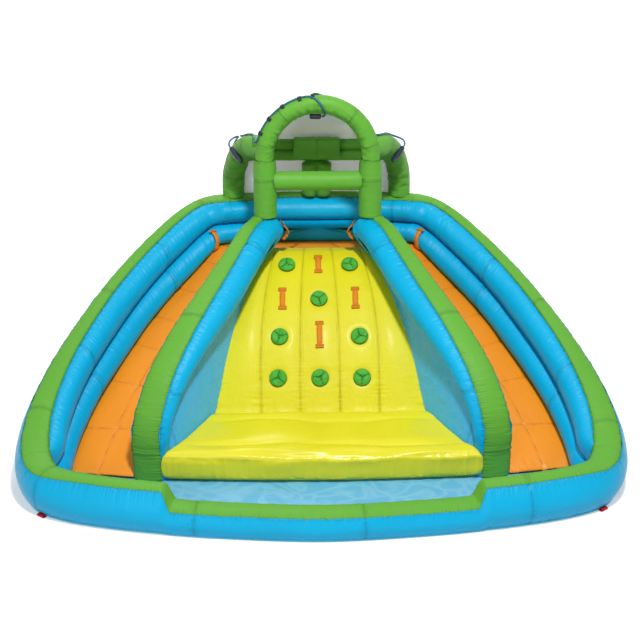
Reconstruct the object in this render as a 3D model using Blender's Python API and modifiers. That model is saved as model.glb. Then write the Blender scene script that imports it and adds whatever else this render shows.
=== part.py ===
"""Inflatable water slide with a climbing wall, two lanes, a splash pool and a spray tower.

Every inflated piece is a fabric skin, as it comes apart at its seams. Units are metres, +Z is up,
the entrance faces -Y, and the object stands on z = 0 with its bounding box centred on the Z axis.
Positions are worked out from the front edge of the rim (y = 0) and moved back by `middle` at the end.
"""
import math

import bpy
import bmesh
from mathutils import Matrix, Vector

# Fabric and seams
skin = 0.008
sheet_thickness = 0.008
net_thickness = 0.003
seam = 0.0003
weld = 0.00001

# Rim wall: plan and heights of its green band
half_width = 2.38
rim_length = 3.50
front_height = 0.34
rear_height = 1.68
entrance_height = 0.19
entrance_half = 1.14
step_run = 0.16
band_width = 0.22
band_shares = (0.0, 0.5, 1.0)
wall_bulge = 0.10
bulge_full_height = 0.60
foot_inset = 0.09
rib_bulge = 0.100
rib_puff_power = 0.75
rib_lift = 0.005
rib_steps = 5
lane_drop = 0.50

# Shares of half_width, of rim_length and of the rise from front_height to rear_height,
# from the middle of the front round to the middle of the rear
wall_path_shares = (
    (0.000, 0.000, 0.000),
    (0.315, 0.016, 0.000),
    (0.525, 0.037, 0.000),
    (0.693, 0.061, 0.000),
    (0.832, 0.091, 0.000),
    (0.929, 0.131, 0.000),
    (0.983, 0.194, 0.030),
    (1.000, 0.271, 0.100),
    (0.983, 0.357, 0.210),
    (0.937, 0.463, 0.345),
    (0.861, 0.586, 0.500),
    (0.773, 0.714, 0.645),
    (0.655, 0.829, 0.810),
    (0.529, 0.920, 0.950),
    (0.412, 0.977, 1.000),
    (0.231, 1.000, 1.000),
    (0.000, 1.000, 1.000),
)
path_end = len(wall_path_shares) - 1
wall_face_shares = (0.0, 0.10, 0.25, 0.45, 0.65, 0.85, 1.0)
# Places along that path, counted in its points
corner_stop = 6.0
lane_foot_stop = 7.45
full_drop_stop = 12.5
rear_stop = 14.3
entrance_places = (1.45, 1.60, 1.70, 1.80, 1.95, 2.15)
side_columns = 15
rear_columns = 8
front_columns = 12
place_nudge = 0.01

# Deck, climbing wall and landing pad
deck_height = 1.265
deck_crown = 0.012
deck_rows = 4
climb_foot_y = 1.55
climb_crown = 0.025
climb_puff_power = 0.7
climb_channel_steps = 4
climb_nudge_share = 0.02
# Shares of the run from the foot to the deck and of the height of the deck
climb_profile_shares = (
    (0.000, 0.230),
    (0.080, 0.345),
    (0.155, 0.450),
    (0.250, 0.575),
    (0.350, 0.690),
    (0.465, 0.800),
    (0.580, 0.895),
    (0.700, 0.982),
    (0.814, 1.055),
    (0.900, 1.090),
    (1.000, 1.080),
)
climb_seam_top_shares = (-0.86, -0.28, 0.28, 0.86)
climb_seam_foot_shares = (-0.55, -0.185, 0.185, 0.55)
pad_height = 0.29
pad_front_y = 0.90
pad_front_bow = 0.05
pad_crown = 0.020
pad_draw = 0.030
pad_folds = 4
pad_columns = 14
pad_rows = 10
pad_side_share = 1.5
pad_fold_power = 0.6
pad_crown_power = 0.5
pad_corner_rate = 12
pad_pull_reach_x = 0.50
pad_pull_reach_y = 0.25
# Shares of the height and of pad_draw, for each step down the sides
pad_step_shares = ((0.25, 0.75), (0.35, 0.25), (0.40, -0.75))

# Divider walls between the lanes and the climbing wall
divider_rear_lane_x = 0.51
divider_rear_lane_y = 2.80
divider_rear_climb_x = 0.42
divider_rear_climb_y = 2.757
divider_nose_lane_x = 1.53
divider_nose_lane_y = 0.95
divider_nose_climb_x = 1.30
divider_nose_climb_y = 0.90
divider_rib_height = 0.21
divider_rib_top_bulge = 0.145
divider_rib_nose_bulge = 0.090
divider_rib_end_share = 0.93
divider_rib_steps = 12
divider_puff_power = 0.8
# Shares of the run from the rear to the nose and of rear_height
divider_top_shares = (
    (0.000, 1.000),
    (0.128, 1.000),
    (0.214, 0.952),
    (0.320, 0.885),
    (0.428, 0.818),
    (0.615, 0.709),
    (0.722, 0.636),
    (0.829, 0.545),
    (0.898, 0.467),
    (0.952, 0.376),
    (0.984, 0.303),
    (1.000, 0.242),
)

# Lanes
lane_puff = 0.016
lane_puff_power = 0.8
lane_seams = 9
lane_rows_per_seam = 3
lane_columns = 5

# Tower
post_x = 0.468
post_y = 2.70
post_radius = 0.100
post_rise = 0.51
post_segments = 6
tube_segments = 4
arch_radius = 0.078
arch_tail = 0.03
arch_steps = 14
crossbar_rise = 0.325
crossbar_radius = 0.083
rear_leg_stop = 14.45
beam_radius = 0.050
beam_y = 3.29
beam_rise = 0.46
beam_half_share = 0.8937
beam_spans = 4
bolster_width = 0.43
bolster_depth = 0.12
bolster_height = 0.19
bolster_edge = 0.035
bolster_rise = 0.045
rear_post_radius = 0.070
rear_post_seat_share = 0.4
double_ring_steps = 6
double_ring_turn = math.radians(135)
double_ring_flat_share = 0.98
net_steps = 8
back_net_clear_share = 0.35
roof_net_rows = 5
roof_net_columns = 12
roof_net_half = 0.50
roof_net_angle = math.radians(25)
# Shares of the way from the rear leg to the front post in plan, and of the way from the
# rim band to the top of the side arch in height
side_arch_shares = (
    (0.00, 0.000),
    (0.00, 0.180),
    (0.03, 0.370),
    (0.09, 0.510),
    (0.16, 0.630),
    (0.28, 0.765),
    (0.42, 0.870),
    (0.56, 0.940),
    (0.72, 0.984),
    (0.86, 1.000),
    (1.00, 1.000),
)
side_arch_rise = 0.605
side_arch_end_shares = (0.90, 0.74)

# Holds, straps and loops
hold_radius = 0.076
hold_height = 0.036
climb_strap_length = 0.23
strap_width = 0.055
strap_stand_off = 0.030
strap_thickness = 0.004
strap_flare_share = 1.35
strap_steps = 8
strap_lift_power = 1.3
deck_strap_lift_power = 0.8
climb_strap_slope = 0.7071
strap_end_share = 0.10
strap_probe_stop = 0.05
lane_strap_mid_share = 0.75
deck_strap_share = divider_rib_end_share / divider_rib_steps / 2
strap_clearance = 0.0015
# Channel counted from the middle, and share of the run of the climbing wall
hold_shares = (
    (-1, 0.764), (1, 0.764), (0, 0.533), (-1, 0.327),
    (1, 0.327), (-1, 0.146), (0, 0.146), (1, 0.146),
)
# Shares of the radius and of the height, from the dimple out to the foot
hold_profile_shares = (
    (0.0, 0.62), (0.30, 0.68), (0.62, 1.0), (0.92, 0.62), (1.0, 0.15), (0.94, 0.0), (0.0, 0.0),
)
hold_steps = 16
climb_strap_shares = ((0, 0.767), (-1, 0.535), (1, 0.537), (0, 0.337))
lane_strap_stop = 13.5
anchor_stop = 4.75
base_step = 0.5
anchor_reach = 0.075
anchor_half = 0.040
anchor_radius = 0.005
anchor_steps = 10
anchor_tilt_share = 0.09

# Water line
hose_radius = 0.010
hose_stand = 0.0006
head_radius = 0.021
head_stand = 0.0007
nozzle_length = 0.080
nozzle_width = 0.012
nozzle_rise = 0.006
head_steps = 14
# Shares of the length and of the radius
head_profile_shares = ((0.0, 0.70), (0.06, 1.0), (0.94, 1.0), (1.0, 0.70))
side_head_face = (0.25, -0.90, 0.35)
side_head_down = (0.85, 0.0, -0.53)
side_head_nudge = 0.1
centre_head_face = (0.0, -1.0, -0.8)
hose_step_share = 5.5
hose_end_share = 0.6
# Shares of the way from supply_low to rear_height and of wall_bulge
supply_wall_shares = ((0.0, 0.80), (0.17, 0.84), (0.42, 0.84), (0.68, 0.68), (0.85, 0.50), (0.983, 0.35))
# A point of the side arch, and the hose's place beside it in shares of post_radius
supply_arch_shares = (
    (0, (-0.13, 1.40, 0.31)), (1, (-0.33, 1.15, 0.11)), (2, (-0.53, 1.01, 0.0)), (4, (-0.60, 0.90, 0.50)),
    (5, (-0.50, 0.50, 1.00)), (6, (-0.60, 0.0, 1.15)),
)
tee_arch_shares = ((8, (-0.20, -0.10, 1.106)), (9, (-0.50, -0.60, 1.064)))
right_arch_shares = ((8, (0.40, 0.0, 1.106)), (6, (0.50, -0.10, 1.106)))
head_lead_share = 0.6
# Angles round the front arch, and shares of the hose's distance outwards and to the rear
arch_front_run = ((168, 155, 140, 125, 110, 99), 0.94, -0.34)
crest_runs = (((91.2,), 0.62, -0.80), ((84.8,), -0.10, -1.06))
crest_goal_run = ((95.0,), 1.0, 0.0)
crest_tee_way = (0.0, 0.88, 0.48)
arch_rear_run = ((84, 70, 55, 40, 25, 14), 0.60, 0.84)
centre_lead_share = 1.6
centre_drop_share = 2.5
nut_radius = 0.019
nut_steps = 12
nut_overlap = 0.012
nut_length = 0.036
nut_edge = 0.002
supply_low = 0.50
side_head_place = 6.2
side_head_length = 0.17
centre_head_length = 0.10
centre_head_x = -0.02

# Air sleeve at the rear
sleeve_x = 0.60
sleeve_radius = 0.12
sleeve_length = 0.30
sleeve_height = 0.20
sleeve_seat = 0.067

half_seam = seam / 2
post_top = rear_height + post_rise
crossbar_height = rear_height + crossbar_rise
beam_height = rear_height + beam_rise
side_arch_top = rear_height + side_arch_rise
base_top = sheet_thickness
floor_z = base_top + seam
band_under = sheet_thickness + seam
front_reach = 0.024
rear_reach = rim_length + sleeve_seat + sleeve_length
middle = (rear_reach - front_reach) / 2
cut_overrun = 0.02

blue = (0.0, 0.47, 0.80)
green = (0.16, 0.48, 0.08)
dark_green = (0.14, 0.42, 0.07)
orange = (0.79, 0.27, 0.03)
yellow = (0.80, 0.74, 0.04)
pale_blue = (0.30, 0.62, 0.78)
net_grey = (0.58, 0.59, 0.57)
red = (0.55, 0.02, 0.03)
navy = (0.01, 0.03, 0.08)
teal = (0.04, 0.20, 0.27)


def clear_scene():
    for item in list(bpy.data.objects):
        bpy.data.objects.remove(item, do_unlink=True)


def new_collection(name):
    group = bpy.data.collections.new(name)
    bpy.context.scene.collection.children.link(group)
    return group


clear_scene()
slide_group = new_collection("water_slide")
cutter_group = new_collection("cutters")


def material(name, colour, roughness=0.45):
    surface = bpy.data.materials.new(name + "_surface")
    surface.use_nodes = True
    shader = surface.node_tree.nodes["Principled BSDF"]
    shader.inputs["Base Color"].default_value = (*colour, 1.0)
    shader.inputs["Roughness"].default_value = roughness
    shader.inputs["Metallic"].default_value = 0.0
    surface.diffuse_color = (*colour, 1.0)
    return surface


def lerp(a, b, share):
    return a + (b - a) * share


def mix(a, b, share):
    return tuple(lerp(p, q, share) for p, q in zip(a, b))


def smooth_step(share):
    share = min(max(share, 0.0), 1.0)
    return share * share * (3 - 2 * share)


def set_back(mesh_data):
    """Move a mesh drawn from the front edge to its place about the middle."""
    mesh_data.transform(Matrix.Translation((0, -middle, 0)))


def finish(item, colour, roughness=0.45, smooth=True):
    for group in list(item.users_collection):
        group.objects.unlink(item)
    slide_group.objects.link(item)
    item.data.materials.clear()
    item.data.materials.append(material(item.name, colour, roughness))
    if smooth and item.type == "MESH":
        for face in item.data.polygons:
            face.use_smooth = True
    return item


def from_bmesh(name, work, colour, roughness=0.45, smooth=True, moved=True):
    bmesh.ops.recalc_face_normals(work, faces=work.faces[:])
    mesh_data = bpy.data.meshes.new(name)
    work.to_mesh(mesh_data)
    work.free()
    if moved:
        set_back(mesh_data)
    item = bpy.data.objects.new(name, mesh_data)
    slide_group.objects.link(item)
    return finish(item, colour, roughness, smooth)


def sheet(name, outer, inner, colour, roughness=0.45):
    """A closed skin lofted between two grids of like rows: its outer and its inner face."""
    work = bmesh.new()
    grids = [[[work.verts.new(point) for point in row] for row in grid] for grid in (outer, inner)]
    rows, columns = len(outer), len(outer[0])
    for grid in grids:
        for i in range(rows - 1):
            for j in range(columns - 1):
                work.faces.new((grid[i][j], grid[i][j + 1], grid[i + 1][j + 1], grid[i + 1][j]))
    rim = [(0, j) for j in range(columns)] + [(i, columns - 1) for i in range(1, rows)]
    rim += [(rows - 1, j) for j in range(columns - 2, -1, -1)] + [(i, 0) for i in range(rows - 2, 0, -1)]
    for (i, j), (k, m) in zip(rim, rim[1:] + rim[:1]):
        work.faces.new((grids[0][i][j], grids[0][k][m], grids[1][k][m], grids[1][i][j]))
    return from_bmesh(name, work, colour, roughness)


def loft(name, rings, colour, roughness=0.45):
    """A closed solid between like closed rings, with flat ends."""
    work = bmesh.new()
    loops = [[work.verts.new(point) for point in ring] for ring in rings]
    count = len(rings[0])
    for a, b in zip(loops[:-1], loops[1:]):
        for k in range(count):
            n = (k + 1) % count
            work.faces.new((a[k], a[n], b[n], b[k]))
    work.faces.new(loops[0])
    work.faces.new(loops[-1])
    return from_bmesh(name, work, colour, roughness)


def poly_curve(name, points, radius, resolution, capped, end_shares=()):
    data = bpy.data.curves.new(name, "CURVE")
    data.dimensions = "3D"
    data.bevel_depth = radius
    data.bevel_resolution = resolution
    data.use_fill_caps = capped
    line = data.splines.new("POLY")
    line.points.add(len(points) - 1)
    for node, point in zip(line.points, points):
        node.co = (*point, 1.0)
    for k, share in enumerate(reversed(end_shares), 1):
        line.points[-k].radius = share
    item = bpy.data.objects.new(name, data)
    slide_group.objects.link(item)
    return item


def as_mesh(item, group):
    """Swap a curve for its mesh, with its caps welded."""
    depsgraph = bpy.context.evaluated_depsgraph_get()
    mesh_data = bpy.data.meshes.new_from_object(item.evaluated_get(depsgraph))
    name = item.name
    matrix = item.matrix_world.copy()
    bpy.data.objects.remove(item, do_unlink=True)
    work = bmesh.new()
    work.from_mesh(mesh_data)
    bmesh.ops.remove_doubles(work, verts=work.verts[:], dist=weld)
    bmesh.ops.recalc_face_normals(work, faces=work.faces[:])
    work.to_mesh(mesh_data)
    work.free()
    set_back(mesh_data)
    made = bpy.data.objects.new(name, mesh_data)
    made.matrix_world = matrix
    group.objects.link(made)
    return made


def tube_cutter(name, points, radius, resolution, end_shares=()):
    made = as_mesh(poly_curve(name, points, radius, resolution, True, end_shares), cutter_group)
    made.display_type = "WIRE"
    made.hide_render = True
    return made


def air_tube(name, points, radius, colour, resolution=tube_segments, cutters=(), end_shares=()):
    """An inflated tube: a skin open at both ends, where the air passes on."""
    made = as_mesh(poly_curve(name, points, radius, resolution, False, end_shares), slide_group)
    work = bmesh.new()
    work.from_mesh(made.data)
    bmesh.ops.recalc_face_normals(work, faces=work.faces[:])
    work.to_mesh(made.data)
    work.free()
    thick = made.modifiers.new("skin", "SOLIDIFY")
    thick.thickness = skin
    thick.offset = -1.0
    thick.use_even_offset = True
    for other in cutters:
        cut = made.modifiers.new("saddle", "BOOLEAN")
        cut.operation = "DIFFERENCE"
        cut.solver = "EXACT"
        cut.object = other
    return finish(made, colour)


def nearest_on(line, spot):
    """Nearest point of a broken line."""
    found = Vector(line[0])
    for a, b in zip(line[:-1], line[1:]):
        start = Vector(a)
        run = Vector(b) - start
        share = min(max((spot - start).dot(run) / run.length_squared, 0.0), 1.0)
        near = start + run * share
        if (near - spot).length < (found - spot).length:
            found = near
    return found


def clear_of(tubes, spot):
    """Move a point of a hose out to the face of the tubes it runs along."""
    for line, radius in tubes:
        near = nearest_on(line, spot)
        away = spot - near
        reach = radius + hose_radius + hose_stand
        if away.length < reach:
            spot = near + away.normalized() * reach
    return spot


def hose(name, points, tubes, start_way, end_way):
    """A capped hose along a smooth route over the tubes. The ways point from its ends into it."""
    step = hose_radius * hose_step_share
    route = [Vector(point) for point in even_route(points, step)]
    route = [route[0]] + [clear_of(tubes, spot) for spot in route[1:-1]] + [route[-1]]
    route[1] = clear_of(tubes, route[0] + start_way * step * hose_end_share)
    route[-2] = clear_of(tubes, route[-1] + end_way * step * hose_end_share)
    for _ in range(4):
        for k in range(1, len(route) - 2):
            half_way = (route[k] + route[k + 1]) / 2
            shift = clear_of(tubes, half_way) - half_way
            route[k] = route[k] + shift
            route[k + 1] = route[k + 1] + shift
    made = poly_curve(name, [tuple(spot) for spot in route], hose_radius, 2, True)
    for node in made.data.splines[0].points:
        node.co.y -= middle
    finish(made, teal, smooth=False)
    return route


def curve_point(points, place):
    """Catmull-Rom curve through points, at a place counted in points."""
    last = len(points) - 1
    k = min(int(place), last - 1)
    t = place - k
    a, b, c, d = (points[min(max(k + i, 0), last)] for i in (-1, 0, 1, 2))
    return tuple(
        0.5 * (2 * q + (r - p) * t + (2 * p - 5 * q + 4 * r - s) * t * t + (3 * q - p - 3 * r + s) * t ** 3)
        for p, q, r, s in zip(a, b, c, d)
    )


def even_route(points, step):
    fine_count = 40 * (len(points) - 1)
    fine = [Vector(curve_point(points, k * (len(points) - 1) / fine_count)) for k in range(fine_count + 1)]
    runs = [0.0]
    for a, b in zip(fine[:-1], fine[1:]):
        runs.append(runs[-1] + (b - a).length)
    count = max(2, round(runs[-1] / step))
    route = []
    k = 0
    for i in range(count + 1):
        goal = runs[-1] * i / count
        while k < fine_count - 1 and runs[k + 1] < goal:
            k += 1
        share = (goal - runs[k]) / (runs[k + 1] - runs[k])
        route.append(tuple(fine[k].lerp(fine[k + 1], min(max(share, 0.0), 1.0))))
    return route


# The rim path. A place runs from the middle of the front (0) by the right side to the
# middle of the rear (path_end) and on by the left side to the front again (2 * path_end).
def folded(place):
    place = place % (2 * path_end)
    return (place, 1) if place <= path_end else (2 * path_end - place, -1)


def path_sample(place):
    """Curve through the shares, mirrored past both ends, for the right half."""
    k = min(int(place), path_end - 1)
    t = place - k
    near = []
    for i in (k - 1, k, k + 1, k + 2):
        if i < 0:
            x, y, z = wall_path_shares[-i]
            near.append((-x, y, z))
        elif i > path_end:
            x, y, z = wall_path_shares[2 * path_end - i]
            near.append((-x, y, z))
        else:
            near.append(wall_path_shares[i])
    x, y, rise = (
        0.5 * (2 * q + (r - p) * t + (2 * p - 5 * q + 4 * r - s) * t * t + (3 * q - p - 3 * r + s) * t ** 3)
        for p, q, r, s in zip(*near)
    )
    return x * half_width, y * rim_length, min(max(rise, 0.0), 1.0)


def rim_plan(place):
    place, side = folded(place)
    x, y, _ = path_sample(place)
    return Vector((side * x, y))


def rim_top(place):
    """Height of the top of the green band."""
    place, _ = folded(place)
    x, _, rise = path_sample(place)
    height = lerp(front_height, rear_height, rise)
    if place < corner_stop:
        height = lerp(entrance_height, height, smooth_step((x - entrance_half) / step_run + 0.5))
    return height


def rim_frame(place):
    ahead = rim_plan(place + place_nudge) - rim_plan(place - place_nudge)
    speed = ahead.length / (2 * place_nudge)
    ahead.normalize()
    return rim_plan(place), Vector((-ahead.y, ahead.x)), speed


def rim_point(place, inward, height):
    plan, inner, _ = rim_frame(place)
    spot = plan + inner * inward
    return spot.x, spot.y, height


def rim_stops(first, last, count):
    """Places from first to last, drawn in at both ends by half a seam."""
    start = first + half_seam / rim_frame(first)[2]
    end = last - half_seam / rim_frame(last)[2]
    return [lerp(start, end, k / count) for k in range(count + 1)]


def lane_edge_height(place):
    """Height of the lane, or the deck, where it meets the rim wall."""
    place, _ = folded(place)
    if place >= deck_stop:
        return deck_height
    drop_at_deck = rim_top(deck_stop) - deck_height
    share = (place - full_drop_stop) / (deck_stop - full_drop_stop)
    drop = lerp(lane_drop, drop_at_deck, smooth_step(share))
    return max(rim_top(place) - drop, floor_z + sheet_thickness)


def bulge_out(share, height):
    """How far the outer face stands inside (+) or outside (-) the edge of the band."""
    scale = min(1.0, height / bulge_full_height)
    return scale * (foot_inset * (1 - share) ** 2 - wall_bulge * math.sin(math.pi * share))


opposite = 2 * path_end
wall_stops = {
    "right": rim_stops(corner_stop, rear_stop, side_columns),
    "rear": rim_stops(rear_stop, opposite - rear_stop, rear_columns),
    "left": rim_stops(opposite - rear_stop, opposite - corner_stop, side_columns),
    "front": sorted(
        rim_stops(-corner_stop, corner_stop, front_columns)
        + [side * place for side in (-1, 1) for place in entrance_places]
    ),
}


# The deck begins at the last stop of the side walls
deck_stop = wall_stops["right"][-2]


def on_wall(place, inward, height):
    """A point on the straight run of the wall between two stops, where height is a function of place."""
    stops = wall_stops["right"] + wall_stops["rear"] + wall_stops["left"]
    for a, b in zip(stops[:-1], stops[1:]):
        if place <= b:
            start = rim_point(a, inward, height(a))
            end = rim_point(b, inward, height(b))
            return mix(start, end, (place - a) / (b - a))
    return rim_point(stops[-1], inward, height(stops[-1]))


def offset_line(points, distance):
    """An open line in a plane, moved to its right by distance with mitred corners."""
    moved = []
    for k, point in enumerate(points):
        normals = []
        for a, b in ((k - 1, k), (k, k + 1)):
            if a >= 0 and b < len(points):
                run = Vector(points[b]) - Vector(points[a])
                normals.append(Vector((run.y, -run.x)).normalized())
        side = sum(normals, Vector((0, 0))).normalized()
        reach = distance / side.dot(normals[0])
        moved.append((point[0] + side.x * reach, point[1] + side.y * reach))
    return moved


def wall_section(place):
    top = rim_top(place) - band_under
    line = []
    for share in wall_face_shares:
        line.append((bulge_out(share, top), lerp(floor_z, top, share)))
    line.append((band_width / 2, top))
    line.append((band_width, top))
    line.append((band_width, lerp(top, floor_z, 0.5)))
    line.append((band_width, floor_z))
    return line


def level_foot(line):
    """Bring both feet of a section back to the base sheet."""
    return [(line[0][0], floor_z)] + line[1:-1] + [(line[-1][0], floor_z)]


def rim_wall(name, stops):
    outer = []
    inner = []
    for place in stops:
        section = wall_section(place)
        lining = level_foot(offset_line(section, skin))
        outer.append([rim_point(place, n, z) for n, z in section])
        inner.append([rim_point(place, n, z) for n, z in lining])
    sheet(name, outer, inner, blue)


def rim_band(name, stops):
    outer = []
    inner = []
    for place in stops:
        top = rim_top(place)
        across = [band_width * share for share in band_shares]
        outer.append([rim_point(place, inward, top) for inward in across])
        inner.append([rim_point(place, inward, top - sheet_thickness) for inward in across])
    sheet(name, outer, inner, green)


def rib_low(place):
    """Foot of the lower rib, just above the lane, the deck or the base sheet."""
    return lane_edge_height(place) + rib_lift


def rib_puff(share):
    """Bulge of the two ribs, from the top (0) to the foot (1)."""
    return rib_bulge * abs(math.sin(2 * math.pi * share)) ** rib_puff_power


def rim_ribs(name, stops):
    """Two air ribs, one above the other, on the inner face of the rim wall."""
    outer = []
    inner = []
    for place in stops:
        shares = [k / (2 * rib_steps) for k in range(2 * rib_steps + 1)]
        heights = [lerp(rim_top(place), rib_low(place), share) for share in shares]
        base = band_width + seam
        outer.append([rim_point(place, base + skin + rib_puff(u), z) for u, z in zip(shares, heights)])
        inner.append([rim_point(place, base + rib_puff(u), z) for u, z in zip(shares, heights)])
    sheet(name, outer, inner, blue)


def build_rim():
    for side, stops in wall_stops.items():
        rim_wall("rim_wall_" + side, stops)
        rim_band("rim_band_" + side, stops)
        if side != "front":
            rim_ribs("rim_ribs_" + side, stops)


def plate(name, outline, low, high, colour):
    """A flat outline, filled and extruded by half its thickness each way."""
    data = bpy.data.curves.new(name, "CURVE")
    data.dimensions = "2D"
    data.fill_mode = "BOTH"
    data.extrude = (high - low) / 2
    line = data.splines.new("POLY")
    line.points.add(len(outline) - 1)
    for node, (x, y) in zip(line.points, outline):
        node.co = (x, y, 0.0, 1.0)
    line.use_cyclic_u = True
    item = bpy.data.objects.new(name, data)
    slide_group.objects.link(item)
    made = as_mesh(item, slide_group)
    made.location.z = (high + low) / 2
    return finish(made, colour, smooth=False)


def base_edge(place):
    top = rim_top(place) - band_under
    x, y, _ = rim_point(place, bulge_out(0.0, top), floor_z)
    return Vector((x, y))


def build_base():
    """The base sheet lies under everything and reaches the piping at the foot of the wall."""
    outline = [tuple(base_edge(k * base_step)) for k in range(round(2 * path_end / base_step))]
    plate("base_sheet", outline, 0.0, base_top, pale_blue)


# Dividers. A share k runs from the rear end (0) to the nose (1).
divider_rear_lane = (divider_rear_lane_x, divider_rear_lane_y)
divider_rear_climb = (divider_rear_climb_x, divider_rear_climb_y)
divider_nose_lane = (divider_nose_lane_x, divider_nose_lane_y)
divider_nose_climb = (divider_nose_climb_x, divider_nose_climb_y)


def divider_line(side, share, lane):
    rear = divider_rear_lane if lane else divider_rear_climb
    nose = divider_nose_lane if lane else divider_nose_climb
    x, y = mix(rear, nose, share)
    return Vector((side * x, y))


def divider_top(share):
    for (a, low), (b, high) in zip(divider_top_shares[:-1], divider_top_shares[1:]):
        if share <= b:
            return rear_height * lerp(low, high, (share - a) / (b - a))
    return rear_height * divider_top_shares[-1][1]


def divider_point(side, share, across, height):
    """across is 0 at the lane face and 1 at the climbing face."""
    spot = divider_line(side, share, True).lerp(divider_line(side, share, False), across)
    return spot.x, spot.y, height


def divider_away(side, share):
    """Unit plan vector from the lane face to the climbing face."""
    return (divider_line(side, share, False) - divider_line(side, share, True)).normalized()


def divider_rib_spot(side, share, turn, stand=seam + skin):
    """A point of the rib along the top of a divider, where turn runs from its top (0) to its foot (1)."""
    bulge = lerp(divider_rib_top_bulge, divider_rib_nose_bulge, share)
    height = divider_top(share) - seam - divider_rib_height * (1 - math.cos(math.pi * turn)) / 2
    puff = bulge * abs(math.sin(math.pi * turn)) ** divider_puff_power
    spot = divider_line(side, share, False) + divider_away(side, share) * (stand + puff)
    return Vector((spot.x, spot.y, height))


def build_divider(side, word):
    stops = [share for share, _ in divider_top_shares]
    outer = []
    inner = []
    for share in stops:
        top = divider_top(share) - band_under
        width = (divider_line(side, share, False) - divider_line(side, share, True)).length
        section = [(0.0, floor_z), (0.0, top), (width / 2, top), (width, top), (width, floor_z)]
        lining = level_foot(offset_line(section, skin))
        outer.append([divider_point(side, share, n / width, z) for n, z in section])
        inner.append([divider_point(side, share, n / width, z) for n, z in lining])
    sheet("divider_wall_" + word, outer, inner, blue)

    length = (divider_line(side, 1.0, True) - divider_line(side, 0.0, True)).length
    profile = [(0.0, deck_height + deck_crown + seam)]
    profile += [(share * length, divider_top(share) - band_under) for share in stops]
    profile += [(length, floor_z)]
    near = offset_line(profile, -seam)
    far = offset_line(profile, -band_under)
    near[0] = (near[0][0], profile[0][1])
    far[0] = (far[0][0], profile[0][1])
    near[-1] = (near[-1][0], floor_z)
    far[-1] = (far[-1][0], floor_z)
    rows = []
    for line in (far, near):
        rows.append([[divider_point(side, s / length, across, z) for across in band_shares] for s, z in line])
    sheet("divider_band_" + word, rows[0], rows[1], green)

    outer = []
    inner = []
    turns = [i / (2 * rib_steps) for i in range(2 * rib_steps + 1)]
    for k in range(divider_rib_steps + 1):
        share = divider_rib_end_share * k / divider_rib_steps
        outer.append([tuple(divider_rib_spot(side, share, turn)) for turn in turns])
        inner.append([tuple(divider_rib_spot(side, share, turn, seam)) for turn in turns])
    sheet("divider_rib_" + word, outer, inner, blue)


def build_lane(side, word):
    """A lane from the deck down to the pool, sewn across into air channels."""
    outer = []
    inner = []
    rows = lane_rows_per_seam * lane_seams
    for i in range(rows + 1):
        along = i / rows
        place = lerp(deck_stop, lane_foot_stop, along)
        edge = Vector(on_wall(place, band_width + seam, lane_edge_height))
        height = edge.z
        edge.x *= side
        near = divider_line(side, along, True) - divider_away(side, along) * seam
        foot = Vector((near.x, near.y, height))
        puff = lane_puff * abs(math.sin(math.pi * lane_seams * along)) ** lane_puff_power
        row = []
        for j in range(lane_columns + 1):
            spot = edge.lerp(foot, j / lane_columns)
            crown = math.sin(math.pi * j / lane_columns) ** 2
            row.append((spot.x, spot.y, spot.z + puff * crown))
        outer.append(row)
        inner.append([(x, y, z - skin) for x, y, z in row])
    if outer[0][0][0] * side < 0:
        outer.reverse()
        inner.reverse()
    sheet("lane_" + word, outer, inner, orange)


def build_deck():
    """The deck between the dividers' rear ends, the lanes and the rear ribs."""
    outer = []
    inner = []
    corner_chords = [place for place in wall_stops["right"] if place > deck_stop]
    corner_chords += wall_stops["rear"]
    corner_chords += [place for place in wall_stops["left"] if place < opposite - deck_stop]
    rear = [deck_stop, *corner_chords, opposite - deck_stop]
    columns = len(rear) - 1
    corner = divider_line(1, 0.0, True) - divider_away(1, 0.0) * seam
    reach = sheet_thickness + 2 * seam
    step_back = Vector((-divider_away(1, 0.0).y, divider_away(1, 0.0).x))
    if step_back.y < 0:
        step_back = -step_back
    front_right = corner + step_back * reach
    for i in range(deck_rows + 1):
        row = []
        for j in range(columns + 1):
            far = Vector(on_wall(rear[j], band_width + seam, lambda place: deck_height))
            near = Vector((lerp(front_right.x, -front_right.x, j / columns), front_right.y, deck_height))
            spot = near.lerp(far, i / deck_rows)
            crown = deck_crown * math.sin(math.pi * j / columns) ** 2 * math.sin(math.pi * i / deck_rows)
            row.append((spot.x, spot.y, spot.z + crown))
        outer.append(row)
        inner.append([(x, y, z - skin) for x, y, z in row])
    sheet("deck", outer, inner, orange)
    return front_right.y


def climb_half(y):
    """Half width of the climbing wall at y: up to the dividers' faces, and clear of their rear ends."""
    y = min(y, divider_rear_climb_y)
    share = (divider_rear_climb_y - y) / (divider_rear_climb_y - divider_nose_climb_y)
    clear = seam if share > 0 else 2 * seam + sheet_thickness
    return lerp(divider_rear_climb_x, divider_nose_climb_x, share) - clear


def climb_height(share):
    for (a, low), (b, high) in zip(climb_profile_shares[:-1], climb_profile_shares[1:]):
        if share <= b:
            return deck_height * lerp(low, high, (share - a) / (b - a))
    return deck_height * climb_profile_shares[-1][1]


def climb_lines(share):
    """Seam places across the climbing wall at a share of its run, as shares of its half width."""
    lines = [lerp(a, b, share) for a, b in zip(climb_seam_foot_shares, climb_seam_top_shares)]
    return [-1.0] + lines + [1.0]


def climb_row(share, y):
    row = []
    lines = climb_lines(share)
    half = climb_half(y)
    for a, b in zip(lines[:-1], lines[1:]):
        for i in range(climb_channel_steps):
            turn = i / climb_channel_steps
            puff = climb_crown * abs(math.sin(math.pi * turn)) ** climb_puff_power
            row.append((half * lerp(a, b, turn), puff))
    row.append((half, 0.0))
    return row


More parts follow.
